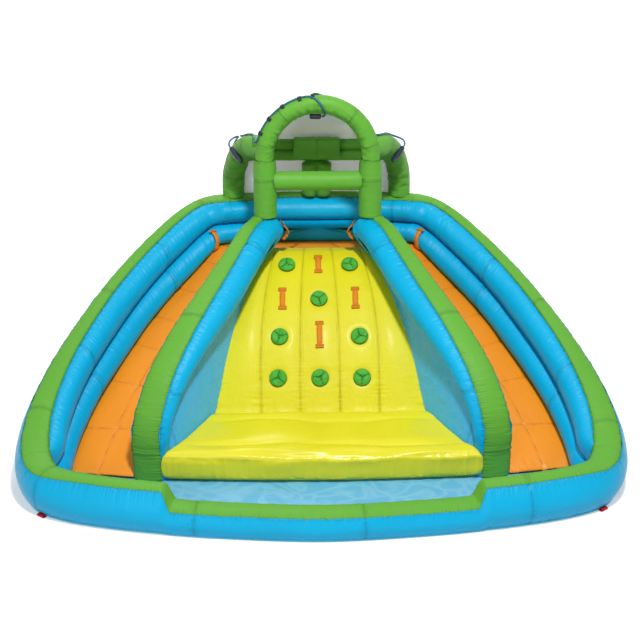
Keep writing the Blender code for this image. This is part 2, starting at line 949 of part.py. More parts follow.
def climb_normal(share, run):
    low = max(share - climb_nudge_share, 0.0)
    high = min(share + climb_nudge_share, 1.0)
    rise = climb_height(high) - climb_height(low)
    return Vector((0, -rise, run * (high - low))).normalized()


def build_climb(deck_front):
    run = deck_front - seam - climb_foot_y
    outer = []
    inner = []
    divider_end = (divider_rear_climb_y - climb_foot_y) / run
    for share in sorted([share for share, _ in climb_profile_shares] + [divider_end]):
        y = climb_foot_y + run * share
        height = climb_height(share) - climb_crown
        normal = climb_normal(share, run)
        if share == 1.0:
            normal = Vector((0, 0, 1))
        row = []
        lining = []
        for x, puff in climb_row(share, y):
            spot = Vector((x, y, height)) + normal * puff
            row.append(tuple(spot))
            lining.append((spot.x, spot.y, spot.z - skin))
        outer.append(row)
        inner.append(lining)
    sheet("climb_wall", outer, inner, yellow)
    return run


def climb_spot(channel, share, run):
    """Crown of a channel of the climbing wall and the direction straight out of it."""
    lines = climb_lines(share)
    k = channel + 2
    y = climb_foot_y + run * share
    normal = climb_normal(share, run)
    x = climb_half(y) * (lines[k] + lines[k + 1]) / 2
    return Vector((x, y, climb_height(share) - climb_crown)) + normal * climb_crown, normal


def build_holds(run):
    """Domed holds with a dimple, turned as one profile."""
    data = bpy.data.meshes.new("hold")
    work = bmesh.new()
    points = [work.verts.new((hold_radius * x, 0, hold_height * z)) for x, z in hold_profile_shares]
    for a, b in zip(points[:-1], points[1:]):
        work.edges.new((a, b))
    work.to_mesh(data)
    work.free()
    for number, (channel, share) in enumerate(hold_shares, 1):
        spot, normal = climb_spot(channel, share, run)
        item = bpy.data.objects.new(f"climb_hold_{number}", data)
        slide_group.objects.link(item)
        turn = item.modifiers.new("turn", "SCREW")
        turn.axis = "Z"
        turn.steps = hold_steps
        turn.render_steps = hold_steps
        turn.use_merge_vertices = True
        turn.merge_threshold = weld
        turn.use_normal_calculate = True
        item.rotation_euler = normal.to_track_quat("Z", "Y").to_euler()
        item.location = spot + normal * seam + Vector((0, -middle, 0))
        if number == 1:
            data.materials.append(material("hold", dark_green))


def strap(name, start, end, outward, across, stand_off, power=strap_lift_power):
    """A webbing strap sewn at both ends, standing off in the middle. A low power lifts it sooner."""
    outer = []
    inner = []
    for k in range(strap_steps + 1):
        share = k / strap_steps
        lift = seam + stand_off * math.sin(math.pi * share) ** power
        spot = start.lerp(end, share) + outward * lift
        flare = strap_flare_share if k in (0, strap_steps) else 1.0
        low = spot - across * strap_width / 2 * flare
        high = spot + across * strap_width / 2 * flare
        inner.append([tuple(low), tuple(high)])
        outer.append([tuple(low + outward * strap_thickness), tuple(high + outward * strap_thickness)])
    sheet(name, outer, inner, orange)


def rib_spot(place, share, side):
    """A point of the ribs' outer face, on the straight run between two stops."""
    reach = band_width + seam + skin + rib_puff(share)
    spot = Vector(on_wall(place, reach, lambda w: lerp(rim_top(w), rib_low(w), share)))
    return Vector((side * spot.x, spot.y, spot.z))


def build_straps(run):
    for number, (channel, share) in enumerate(climb_strap_shares, 1):
        reach = climb_strap_length / 2 / run * climb_strap_slope
        low, _ = climb_spot(channel, share - reach, run)
        high, _ = climb_spot(channel, share + reach, run)
        normal = climb_normal(share, run)
        bow = climb_spot(channel, share, run)[0] - (low + high) / 2
        lift = bow.dot(normal)
        strap(f"climb_strap_{number}", low, high, normal, Vector((1, 0, 0)), strap_stand_off + lift)

    for side, word in ((1, "right"), (-1, "left")):
        low = rib_spot(lane_strap_stop, 1 - strap_end_share, side)
        high = rib_spot(lane_strap_stop, 0.5 + strap_end_share, side)
        mid = lane_strap_mid_share
        across = rib_spot(lane_strap_stop + strap_probe_stop, mid, side)
        across = (across - rib_spot(lane_strap_stop - strap_probe_stop, mid, side)).normalized()
        outward = across.cross(high - low).normalized()
        if outward.x * side > 0:
            outward.negate()
        bow = (rib_spot(lane_strap_stop, mid, side) - (low + high) / 2).dot(outward)
        lift = outward * strap_clearance
        strap("lane_strap_" + word, low + lift, high + lift, outward, across, strap_stand_off + bow)

        low = divider_rib_spot(side, deck_strap_share, 1 - 2 * strap_end_share)
        high = divider_rib_spot(side, deck_strap_share, 2 * strap_end_share)
        crown = divider_rib_spot(side, deck_strap_share, 0.5)
        across = divider_rib_spot(side, 2 * deck_strap_share, 0.5) - divider_rib_spot(side, 0.0, 0.5)
        across.normalize()
        outward = across.cross(high - low).normalized()
        if outward.x * side > 0:
            outward.negate()
        lift = outward * strap_clearance
        bow = (crown - (low + high) / 2).dot(outward)
        lower, upper = low + lift, high + lift
        power = deck_strap_lift_power
        strap("deck_strap_" + word, lower, upper, outward, across, strap_stand_off + bow, power)


def pad_pull(reach, full):
    """Share of the pull on a point of the rim, which grows with its distance from the centre up to full."""
    return math.copysign(min(1.0, abs(reach) / full), reach)


def build_pad():
    """The landing pad: a crowned top with folds, drawn-in sides, open underneath."""
    work = bmesh.new()
    bmesh.ops.create_grid(work, x_segments=pad_columns, y_segments=pad_rows, size=0.5)
    back = climb_foot_y - seam - pad_draw - skin
    for vert in work.verts:
        u = vert.co.x + 0.5
        v = vert.co.y + 0.5
        front = pad_front_y - pad_front_bow * math.sin(math.pi * u)
        y = lerp(front + pad_draw, back, v)
        half = climb_half(y) - pad_side_share * pad_draw
        fold = abs(math.sin(math.pi * pad_folds * v)) ** pad_fold_power
        crown = pad_crown * fold * math.sin(math.pi * u) ** pad_crown_power
        corner = pad_crown * smooth_step(min(u, 1 - u, v, 1 - v) * pad_corner_rate)
        vert.co = (half * (2 * u - 1), y, pad_height - 2 * pad_crown + corner + crown)
    centre_y = lerp(pad_front_y, climb_foot_y, 0.5)
    rim = [edge for edge in work.edges if edge.is_boundary]
    for drop, draw in pad_step_shares:
        made = bmesh.ops.extrude_edge_only(work, edges=rim)["geom"]
        rim = [item for item in made if isinstance(item, bmesh.types.BMEdge) and item.is_boundary]
        for vert in [item for item in made if isinstance(item, bmesh.types.BMVert)]:
            vert.co.x += pad_pull(vert.co.x, pad_pull_reach_x) * pad_draw * draw
            vert.co.y += pad_pull(vert.co.y - centre_y, pad_pull_reach_y) * pad_draw * draw
            vert.co.z -= drop * (pad_height - 2 * pad_crown - floor_z)
    for vert in work.verts:
        if vert.is_boundary:
            vert.co.z = floor_z
    item = from_bmesh("landing_pad", work, yellow)
    thick = item.modifiers.new("skin", "SOLIDIFY")
    thick.thickness = skin
    thick.offset = -1.0


def arch_line():
    """Centre line of the front arch, from one post top over to the other."""
    low = post_top + half_seam
    spring = low + arch_tail
    line = [(post_x, post_y, low)]
    for k in range(arch_steps + 1):
        turn = math.pi * k / arch_steps
        line.append((post_x * math.cos(turn), post_y, spring + post_x * math.sin(turn)))
    line.append((-post_x, post_y, low))
    return line


def rear_leg_plan(side):
    x, y, _ = rim_point(rear_leg_stop, band_width / 2, rear_height)
    return side * x, y


def beam_half():
    return rear_leg_plan(1)[0] * beam_half_share


def side_arch_line(side):
    leg = rear_leg_plan(side)
    post = (side * post_x, post_y)
    line = []
    for share, rise in side_arch_shares:
        x, y = mix(leg, post, share)
        line.append((x, y, lerp(rear_height + seam, side_arch_top, rise)))
    return line


def build_tower():
    cutters = {}
    for side, word in ((1, "right"), (-1, "left")):
        post = [(side * post_x, post_y, rear_height + seam), (side * post_x, post_y, post_top - half_seam)]
        air_tube("front_post_" + word, post, post_radius, green, post_segments)
        longer = [post[0][:2] + (rear_height - cut_overrun,), post[1][:2] + (post_top + half_seam,)]
        cutters["post", side] = tube_cutter("post_cut_" + word, longer, post_radius + seam, post_segments)
        cutters["side", side] = tube_cutter(
            "side_cut_" + word, side_arch_line(side), post_radius + seam, tube_segments, side_arch_end_shares
        )
    cutters["arch"] = tube_cutter("arch_cut", arch_line(), arch_radius + seam, tube_segments)
    air_tube("front_arch", arch_line(), arch_radius, green)
    both = [cutters["post", 1], cutters["post", -1]]
    bar = [(x, post_y, crossbar_height) for x in (-post_x, 0.0, post_x)]
    air_tube("crossbar", bar, crossbar_radius, green, tube_segments, both)
    for side, word in ((1, "right"), (-1, "left")):
        line = side_arch_line(side)
        saddles = [cutters["post", side], cutters["arch"]]
        air_tube("side_arch_" + word, line, post_radius, green, tube_segments, saddles, side_arch_end_shares)
    build_rear_frame(cutters)


def double_ring(radius, vertical):
    """Outline of two tubes side by side, as points across and up about a centre."""
    ring = []
    for centre in (-1, 1):
        for k in range(double_ring_steps + 1):
            turn = lerp(-double_ring_turn, double_ring_turn, k / double_ring_steps)
            x = centre * radius * (1 + math.cos(turn) * double_ring_flat_share)
            y = centre * radius * math.sin(turn)
            ring.append((x, y))
    return [(y, x) if vertical else (x, y) for x, y in ring]


def build_rear_frame(cutters):
    rings = []
    half = beam_half()
    section = double_ring(beam_radius, True)
    for k in range(beam_spans + 1):
        x = lerp(-half, half, k / beam_spans)
        rings.append([(x, beam_y + across, beam_height + up) for across, up in section])
    beam = loft("rear_beam", rings, green)
    for side in (1, -1):
        cut = beam.modifiers.new("saddle", "BOOLEAN")
        cut.operation = "DIFFERENCE"
        cut.solver = "EXACT"
        cut.object = cutters["side", side]

    top = beam_height - 2 * beam_radius - seam
    base_y = rim_point(path_end, band_width / 2, 0)[1] - rear_post_radius * rear_post_seat_share
    rings = []
    for y, z in ((base_y, rear_height + seam), (beam_y + beam_radius - rear_post_radius - seam, top)):
        rings.append([(across, y + up, z) for across, up in double_ring(rear_post_radius, False)])
    loft("rear_post", rings, green)

    work = bmesh.new()
    bmesh.ops.create_cube(work, size=1.0)
    bmesh.ops.scale(work, vec=(bolster_width, bolster_depth, bolster_height), verts=work.verts[:])
    bmesh.ops.bevel(work, geom=work.edges[:], offset=bolster_edge, segments=3, affect="EDGES", profile=0.5)
    centre = (0, beam_y - beam_radius - seam - bolster_depth / 2, beam_height + bolster_rise)
    bmesh.ops.translate(work, vec=centre, verts=work.verts[:])
    from_bmesh("bolster", work, green)

    build_nets(cutters, base_y)


def build_nets(cutters, base_y):
    """The back net stands behind the rear post, the roof net runs from the beam to the arch."""
    low_tube = beam_height - beam_radius
    foot = Vector((base_y + rear_post_radius + net_thickness, rear_height + seam))
    reach = beam_radius + net_thickness / 2 + seam
    to_tube = Vector((beam_y, low_tube)) - foot
    swing = math.asin(reach / to_tube.length)
    lean = math.atan2(to_tube.y, to_tube.x) - swing
    rise = Vector((math.cos(lean), math.sin(lean)))
    side = Vector((rise.y, -rise.x))
    length = math.sqrt(to_tube.length ** 2 - reach ** 2) + beam_radius / 2
    leg = rear_leg_plan(1)
    outer = []
    inner = []
    half = leg[0] - post_radius * back_net_clear_share
    columns = [lerp(-half, half, j / net_steps) for j in range(net_steps + 1)]
    for k in range(net_steps + 1):
        spot = foot + rise * length * k / net_steps
        for grid, offset in ((outer, net_thickness / 2), (inner, -net_thickness / 2)):
            place = spot + side * offset
            grid.append([(x, place.x, max(place.y, foot.y)) for x in columns])
    net = sheet("back_net", outer, inner, net_grey)
    for number in (1, -1):
        cut = net.modifiers.new("saddle", "BOOLEAN")
        cut.operation = "DIFFERENCE"
        cut.solver = "EXACT"
        cut.object = cutters["side", number]

    spring = post_top + half_seam + arch_tail
    front_y = post_y + arch_radius + seam
    low = []
    high = []
    for i in range(roof_net_rows + 1):
        row = []
        for j in range(roof_net_columns + 1):
            share = j / roof_net_columns
            turn = lerp(roof_net_angle, math.pi - roof_net_angle, share)
            front = Vector((post_x * math.cos(turn), front_y, spring + post_x * math.sin(turn)))
            x = lerp(roof_net_half, -roof_net_half, share)
            rear = Vector((x, beam_y, beam_height + 2 * beam_radius + seam))
            row.append(tuple(rear.lerp(front, i / roof_net_rows)))
        low.append(row)
        high.append([(x, y, z + net_thickness) for x, y, z in row])
    sheet("roof_net", high, low, net_grey)


def spray_head(name, start, end, face):
    """A spray head on the hose's axis: a barrel with end lips and a raised nozzle strip."""
    axis = (end - start).normalized()
    length = (end - start).length
    work = bmesh.new()
    loops = []
    for share, scale in head_profile_shares:
        ring = []
        wide = head_radius * scale
        level = length * (share - 0.5)
        for k in range(head_steps):
            turn = 2 * math.pi * k / head_steps
            ring.append(work.verts.new((wide * math.cos(turn), wide * math.sin(turn), level)))
        loops.append(ring)
    for a, b in zip(loops[:-1], loops[1:]):
        for k in range(head_steps):
            n = (k + 1) % head_steps
            work.faces.new((a[k], a[n], b[n], b[k]))
    work.faces.new(loops[0])
    work.faces.new(loops[-1])
    strip = bmesh.new()
    bmesh.ops.create_cube(strip, size=1.0)
    tall = nozzle_rise + head_radius
    bmesh.ops.scale(strip, vec=(tall, nozzle_width, nozzle_length), verts=strip.verts[:])
    bmesh.ops.translate(strip, vec=(tall / 2, 0, 0), verts=strip.verts[:])
    strip_data = bpy.data.meshes.new(name + "_strip")
    strip.to_mesh(strip_data)
    strip.free()
    strip_item = bpy.data.objects.new(name + "_strip", strip_data)
    cutter_group.objects.link(strip_item)
    strip_item.display_type = "WIRE"
    strip_item.hide_render = True
    item = from_bmesh(name, work, navy, 0.35, smooth=False, moved=False)
    join = item.modifiers.new("nozzle", "BOOLEAN")
    join.operation = "UNION"
    join.solver = "EXACT"
    join.object = strip_item
    x_axis = (face - axis * face.dot(axis)).normalized()
    y_axis = axis.cross(x_axis)
    turn = Matrix((x_axis, y_axis, axis)).transposed()
    centre = (start + end) / 2 + Vector((0, -middle, 0))
    item.matrix_world = Matrix.Translation(centre) @ turn.to_4x4()
    strip_item.matrix_world = item.matrix_world.copy()


def toward_middle(way, side):
    """A direction whose first number points to the middle of the slide, for one side."""
    return Vector((-side * way[0], way[1], way[2]))


def side_head_ends(side):
    """Ends of a side spray head, the upper one first. It lies across the front of its arch."""
    line = side_arch_line(side)
    spot = Vector(curve_point(line, side_head_place))
    before = Vector(curve_point(line, side_head_place - side_head_nudge))
    after = Vector(curve_point(line, side_head_place + side_head_nudge))
    along = (after - before).normalized()
    face = toward_middle(side_head_face, side)
    face = (face - along * face.dot(along)).normalized()
    down = toward_middle(side_head_down, side)
    down = (down - face * down.dot(face)).normalized()
    centre = spot + face * (post_radius + head_radius + head_stand)
    return centre - down * side_head_length / 2, centre + down * side_head_length / 2, face


def water_tubes():
    """Centre lines and radii of the tower tubes the hoses run along."""
    tubes = [(arch_line(), arch_radius)]
    for side in (1, -1):
        tubes.append((side_arch_line(side), post_radius))
        tubes.append(([(side * post_x, post_y, rear_height), (side * post_x, post_y, post_top)], post_radius))
    half = beam_half()
    for level in (-1, 1):
        height = beam_height + level * beam_radius
        tubes.append(([(-half, beam_y, height), (half, beam_y, height)], beam_radius))
    return tubes


def side_way(route, k, way):
    """Unit vector square to a hose at point k of its route, as near to way as that allows."""
    along = (route[k + 1] - route[k - 1]).normalized()
    return (way - along * way.dot(along)).normalized()


def beside(line, k, offset_shares):
    """A point beside point k of a tower tube's line, off it by shares of post_radius."""
    return tuple(Vector(line[k]) + Vector(offset_shares) * post_radius)


def over_arch(angles, reach_share, back_share):
    """Points on the front arch. The shares are of the hose's distance from its centre line."""
    ring = arch_radius + hose_radius + hose_stand
    spring = post_top + half_seam + arch_tail
    reach = post_x + ring * reach_share
    spots = []
    for angle in angles:
        turn = math.radians(angle)
        spots.append((reach * math.cos(turn), post_y + ring * back_share, spring + reach * math.sin(turn)))
    return spots


def build_water_line():
    """Hoses and spray heads in one chain, from the coupling at the rear round the tower."""
    tubes = water_tubes()
    gap = seam * 2
    left_a, left_b, left_face = side_head_ends(-1)
    right_a, right_b, right_face = side_head_ends(1)
    spray_head("spray_head_left", left_a, left_b, left_face)
    spray_head("spray_head_right", right_a, right_b, right_face)
    top = post_top + arch_tail + post_x
    reach = abs(centre_head_x) + centre_head_length / 2
    inner_height = math.sqrt((post_x - arch_radius) ** 2 - reach ** 2)
    centre_z = top - post_x + inner_height - head_radius - head_stand
    centre_a = Vector((centre_head_x - centre_head_length / 2, post_y, centre_z))
    centre_b = Vector((centre_head_x + centre_head_length / 2, post_y, centre_z))
    spray_head("spray_head_centre", centre_a, centre_b, Vector(centre_head_face))

    stand = hose_radius + hose_stand
    supply = []
    for rise, bulge in supply_wall_shares:
        height = lerp(supply_low, rear_height, rise)
        supply.append(rim_point(opposite - rear_leg_stop, -wall_bulge * bulge - stand, height))
    arch_left = side_arch_line(-1)
    supply += [beside(arch_left, k, offset) for k, offset in supply_arch_shares]
    left_up = (left_a - left_b).normalized()
    supply += [tuple(left_a + left_up * post_radius * head_lead_share), tuple(left_a + left_up * gap)]
    supply_route = hose("hose_supply", supply, tubes, Vector((0, 0, 1)), left_up)

    tee = supply_route[-5]
    tee_way = side_way(supply_route, -5, Vector(arch_left[8]) - Vector(arch_left[6]))
    lead = head_radius * centre_lead_share
    arch_run = [
        tuple(tee + tee_way * (hose_radius + gap)),
        *[beside(arch_left, k, offset) for k, offset in tee_arch_shares],
        *over_arch(*arch_front_run),
        *[spot for run in crest_runs for spot in over_arch(*run)],
        (centre_b.x + lead, post_y - head_radius * centre_drop_share, centre_z + head_radius),
        (centre_b.x + lead, post_y, centre_z),
        tuple(centre_b + Vector((gap, 0, 0))),
    ]
    arch_route = hose("hose_arch", arch_run, tubes, tee_way, Vector((1, 0, 0)))

    crest_goal = Vector(over_arch(*crest_goal_run)[0])
    k = min(range(len(arch_route)), key=lambda n: (arch_route[n] - crest_goal).length)
    crest_way = side_way(arch_route, k, Vector(crest_tee_way))
    arch_right = side_arch_line(1)
    right_up = (right_a - right_b).normalized()
    right_run = [
        tuple(arch_route[k] + crest_way * (hose_radius + gap)),
        *over_arch(*arch_rear_run),
        *[beside(arch_right, k, offset) for k, offset in right_arch_shares],
        tuple(right_a + right_up * post_radius * head_lead_share),
        tuple(right_a + right_up * gap),
    ]
    hose("hose_right", right_run, tubes, crest_way, right_up)

    nut_top = supply_low + nut_overlap
    nut_bore = (hose_radius + seam) / math.cos(math.pi / nut_steps)
    profile = (
        (nut_bore, nut_top), (nut_radius - nut_edge, nut_top), (nut_radius, nut_top - nut_edge),
        (nut_radius, nut_top - nut_length + nut_edge), (nut_radius - nut_edge, nut_top - nut_length),
        (nut_bore, nut_top - nut_length),
    )
    data = bpy.data.meshes.new("coupling_nut")
    work = bmesh.new()
    points = [work.verts.new((x, 0, z - nut_top)) for x, z in profile]
    for a, b in zip(points, points[1:] + points[:1]):
        work.edges.new((a, b))
    work.to_mesh(data)
    work.free()
    item = bpy.data.objects.new("coupling_nut", data)
    slide_group.objects.link(item)
    item.location = (supply[0][0], supply[0][1] - middle, nut_top)
    turn = item.modifiers.new("turn", "SCREW")
    turn.axis = "Z"
    turn.steps = nut_steps
    turn.render_steps = nut_steps
    turn.use_merge_vertices = True
    turn.merge_threshold = weld
    turn.use_normal_calculate = True
    finish(item, navy, 0.35, smooth=False)


def build_loops():
    """Webbing anchor loops at the front corners, sewn to the edge of the base sheet."""
    near, far = (base_edge(anchor_stop + turn * base_step / 2) for turn in (-1, 1))
    along = (far - near).normalized()
    out = Vector((along.y, -along.x))
    edge = (near + far) / 2 + out * (seam + anchor_radius * anchor_tilt_share)
    for side, word in ((1, "right"), (-1, "left")):
        points = []
        for k in range(anchor_steps + 1):
            turn = math.pi * k / anchor_steps
            spot = edge + along * anchor_half * math.cos(turn) + out * anchor_reach * math.sin(turn)
            points.append((side * spot.x, spot.y, anchor_radius + seam))
        made = poly_curve("anchor_loop_" + word, points, anchor_radius, 2, True)
        for node in made.data.splines[0].points:
            node.co.y -= middle
        finish(made, red, smooth=False)


def build_sleeve():
    """The open air sleeve that the blower fills, seated on the rear of the rim wall."""
    cut_outer = []
    cut_inner = []
    for place in wall_stops["rear"]:
        face = wall_section(place)[:len(wall_face_shares)]
        cut_outer.append([rim_point(place, n - seam, z) for n, z in face])
        cut_inner.append([rim_point(place, n + sleeve_radius, z) for n, z in face])
    cutter = sheet("wall_cut", cut_outer, cut_inner, blue)
    slide_group.objects.unlink(cutter)
    cutter_group.objects.link(cutter)
    cutter.display_type = "WIRE"
    cutter.hide_render = True
    line = [(sleeve_x, rim_length - sleeve_radius / 2, sleeve_height), (sleeve_x, rear_reach, sleeve_height)]
    air_tube("air_sleeve", line, sleeve_radius, blue, tube_segments, [cutter])


build_base()
build_rim()
for number, name in ((1, "right"), (-1, "left")):
    build_divider(number, name)
    build_lane(number, name)
deck_front_y = build_deck()
climb_run = build_climb(deck_front_y)
build_pad()
build_holds(climb_run)
build_straps(climb_run)
build_tower()
build_water_line()
build_loops()
build_sleeve()
print("nodes", len([item for item in slide_group.objects if item.type != "EMPTY"]))
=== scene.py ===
# %% [markdown]
# # Inflatable water slide
# This lesson dresses a finished frame. The frame is the plain solid model of the slide, and each
# step puts sewn, inflated fabric in the place of its solids. The panels are drawn from the same few
# measurements as the frame, so the two agree.

# %% Load the frame
import bisect
import functools
import math
import bpy
import bmesh
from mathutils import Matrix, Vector, noise
from mathutils.bvhtree import BVHTree


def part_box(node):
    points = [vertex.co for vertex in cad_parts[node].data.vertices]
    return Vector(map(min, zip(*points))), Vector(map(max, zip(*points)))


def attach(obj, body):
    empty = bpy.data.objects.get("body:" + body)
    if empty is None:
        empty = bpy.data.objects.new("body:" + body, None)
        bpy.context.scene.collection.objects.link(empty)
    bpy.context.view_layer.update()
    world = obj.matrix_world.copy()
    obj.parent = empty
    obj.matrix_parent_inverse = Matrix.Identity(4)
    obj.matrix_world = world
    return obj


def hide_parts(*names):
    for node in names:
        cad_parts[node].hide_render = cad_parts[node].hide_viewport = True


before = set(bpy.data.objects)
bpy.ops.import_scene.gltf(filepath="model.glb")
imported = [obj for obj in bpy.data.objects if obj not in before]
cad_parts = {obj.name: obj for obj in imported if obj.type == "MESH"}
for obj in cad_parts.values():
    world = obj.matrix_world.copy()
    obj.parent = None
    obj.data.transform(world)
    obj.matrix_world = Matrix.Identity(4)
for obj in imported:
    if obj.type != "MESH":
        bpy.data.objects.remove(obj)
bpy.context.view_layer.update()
print("nodes in the frame:", len(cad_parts))

# %% [markdown]
# ## Camera
# The photograph looks down at the slide from the height of a raised tripod, almost straight on.
# A camera is an object with a lens. The focal length in millimetres belongs to a film 36 mm wide,
# and the angles turn the camera from looking straight down: first up to the horizon, less the
# tilt, and then a little to the side.

# %% Camera at the photograph's angle
def placed(name, data):
    """A new object in the scene."""
    made = bpy.data.objects.new(name, data)
    bpy.context.scene.collection.objects.link(made)
    return made


camera_tilt, camera_turn = math.radians(22.25), math.radians(1.25)
lens = bpy.data.cameras.new("photo_view")
lens.lens = 66.0
lens.sensor_width = 36.0
camera = placed("photo_view", lens)
camera.location = (-0.20, -9.31, 4.8)
camera.rotation_euler = (math.pi / 2 - camera_tilt, 0.0, -camera_turn)
bpy.context.scene.camera = camera
bpy.context.scene.view_settings.view_transform = "Standard"
print("camera", tuple(round(part, 2) for part in camera.location))

# %% [markdown]
# ## Nodes
# A material is a tree of nodes. Making, setting and linking a node takes a line each, which hides what a
# surface is made of. So one function does all three here: an input takes a number, a colour or the
# output of another node. The kinds of node that are used most get a short function each.

# %% Node helpers
def feed(tree, made, inputs):
    """Set each input, or link it where the value is another node's output."""
    for key, value in inputs:
        if isinstance(value, bpy.types.NodeSocket):
            tree.links.new(value, made.inputs[key])
        else:
            made.inputs[key].default_value = value


def node(tree, kind, inputs=(), **settings):
    made = tree.nodes.new(kind)
    for name, value in settings.items():
        setattr(made, name, value)
    feed(tree, made, inputs)
    return made


def combined(tree, way, a, b):
    return node(tree, "ShaderNodeMath", ((0, a), (1, b)), operation=way).outputs[0]


def ranged(tree, value, low, high, first=0.0, last=1.0):
    """Move a value from the range first to last into the range low to high."""
    limits = (("From Min", first), ("From Max", last), ("To Min", low), ("To Max", high))
    return node(tree, "ShaderNodeMapRange", (("Value", value), *limits)).outputs["Result"]


def places(tree):
    return node(tree, "ShaderNodeTexCoord").outputs["Object"]


def new_surface(name):
    surface = bpy.data.materials.new(name)
    surface.use_nodes = True
    return surface, surface.node_tree, surface.node_tree.nodes["Principled BSDF"]


def show_ray(tree):
    """1 for camera, glossy and transmission rays, and 0 for the light that falls on things."""
    path = node(tree, "ShaderNodeLightPath").outputs
    seen = combined(tree, "MAXIMUM", path["Is Camera Ray"], path["Is Glossy Ray"])
    return combined(tree, "MAXIMUM", seen, path["Is Transmission Ray"])


print("node helpers", [helper.__name__ for helper in (node, combined, ranged, places)])

# %% [markdown]
# ## Floor and light
# A studio floor is a big pale sheet. It has to show white in the picture and still take the slide's
# shadow, so a little of its own glow is added for rays that come from the camera, from a shiny
# face or through glass, and for no others: the slide itself isn't lit by it.
# The light is one strong lamp high in front, a weak wide one lower down, a third behind that puts
# highlights on the tops of the tubes, and a bright sky all round. Their sum on a face turned to them is
# about 1, so a colour shows as written. The strong lamp gives the tower its shadow on the rear tubes.

# %% Studio floor
def to_mesh(name, work):
    mesh = bpy.data.meshes.new(name)
    work.to_mesh(mesh)
    work.free()
    return mesh


floor_work = bmesh.new()
bmesh.ops.create_grid(floor_work, x_segments=2, y_segments=2, size=30.0)
floor = placed("studio_floor", to_mesh("studio_floor", floor_work))
floor_paint, tree, shader = new_surface("studio_floor_paint")
spread = node(tree, "ShaderNodeVectorMath", ((0, places(tree)),), operation="LENGTH").outputs["Value"]
glow_near, glow_far, glow_start, glow_full = 0.36, 0.95, 2.4, 5.5
glow = ranged(tree, spread, glow_near, glow_far, glow_start, glow_full)
feed(tree, shader, (("Base Color", (0.80, 0.80, 0.80, 1.0)), ("Roughness", 0.9),
                    ("Specular IOR Level", 0.0), ("Emission Color", (1.0, 1.0, 1.0, 1.0)),
                    ("Emission Strength", combined(tree, "MULTIPLY", show_ray(tree), glow))))
floor.data.materials.append(floor_paint)
print("floor", [round(side, 1) for side in floor.dimensions[:2]])


# %% Lamps and sky
def soft_lamp(name, spot, aim, size, power):
    data = bpy.data.lights.new(name, "AREA")
    data.shape = "DISK"
    data.size = size
    data.energy = power
    lamp = placed(name, data)
    lamp.location = spot
    lamp.rotation_euler = (Vector(aim) - Vector(spot)).to_track_quat("-Z", "Y").to_euler()


soft_lamp("key_lamp", (0.9, -5.4, 10.4), (0.0, 0.4, 0.6), 1.1, 900.0)
soft_lamp("fill_lamp", (-4.0, -9.5, 4.2), (0.0, 0.0, 0.8), 4.0, 115.0)
soft_lamp("back_lamp", (-1.2, 6.0, 8.5), (0.0, -0.6, 0.4), 2.5, 170.0)
sky_light, sky_seen = 0.30, 1.0
sky = bpy.data.worlds.new("studio_sky")
bpy.context.scene.world = sky
sky.use_nodes = True
sky_level = ranged(sky.node_tree, show_ray(sky.node_tree), sky_light, sky_seen)
feed(sky.node_tree, sky.node_tree.nodes["Background"],
     (("Strength", sky_level), ("Color", (1.0, 1.0, 1.0, 1.0))))
print("lamps", len(bpy.data.lights))


# %% [markdown]
# ## Coated fabric
# The slide is sewn from woven polyester with a plastic coat on it. Close up it has a fine weave;
# from further off it shows soft creases, and short gathers along each seam, where a flat cloth is
# drawn round a full tube. The big gathers are made in the mesh later on. The small ones are bump.
# Each mesh carries a UV map in metres, so one material fits every piece, and an attribute
# named `gather` that is 1 at a seam and fades away from it. There the colour is darkened: partly dust and
# rubbing, partly painted shade in the seams' creases.

# %% Fabric material
def clouds(tree, place, scale, detail, distortion=0.0):
    inputs = (("Vector", place), ("Scale", scale), ("Detail", detail), ("Distortion", distortion))
    return node(tree, "ShaderNodeTexNoise", inputs).outputs["Fac"]


def blend(tree, share, low, high):
    return node(tree, "ShaderNodeMix", ((0, share), (6, low), (7, high)), data_type="RGBA").outputs[2]


def bumped(tree, height, distance, strength, under=None):
    inputs = (("Height", height), ("Distance", distance), ("Strength", strength))
    return node(tree, "ShaderNodeBump", inputs + ((("Normal", under),) if under else ())).outputs["Normal"]


def paint(*levels):
    """Colour as a screen writes it, from 0 to 255, as Blender's linear colour."""
    shares = (part / 255 for part in levels)
    return tuple(((s + 0.055) / 1.055) ** 2.4 if s > 0.04045 else s / 12.92 for s in shares)


def shaded(colour, share):
    return *(min(1.0, part * share) for part in colour), 1.0


def mottled(tree, place, colour, scale, detail, dark, light=1.0):
    """A colour that drifts between a darker and a lighter tone."""
    return blend(tree, clouds(tree, place, scale, detail), shaded(colour, dark), shaded(colour, light))


def cloth_map(tree):
    return node(tree, "ShaderNodeUVMap", uv_map="cloth").outputs["UV"]


def woven(tree, cloth_uv, pitch, way):
    """Two sets of threads, one across the other, a pitch apart."""
    threads = [node(tree, "ShaderNodeTexWave", (("Scale", 2 * math.pi / (20 * pitch)), ("Vector", cloth_uv)),
                    bands_direction=direction).outputs["Fac"] for direction in ("X", "Y")]
    return combined(tree, way, *threads)


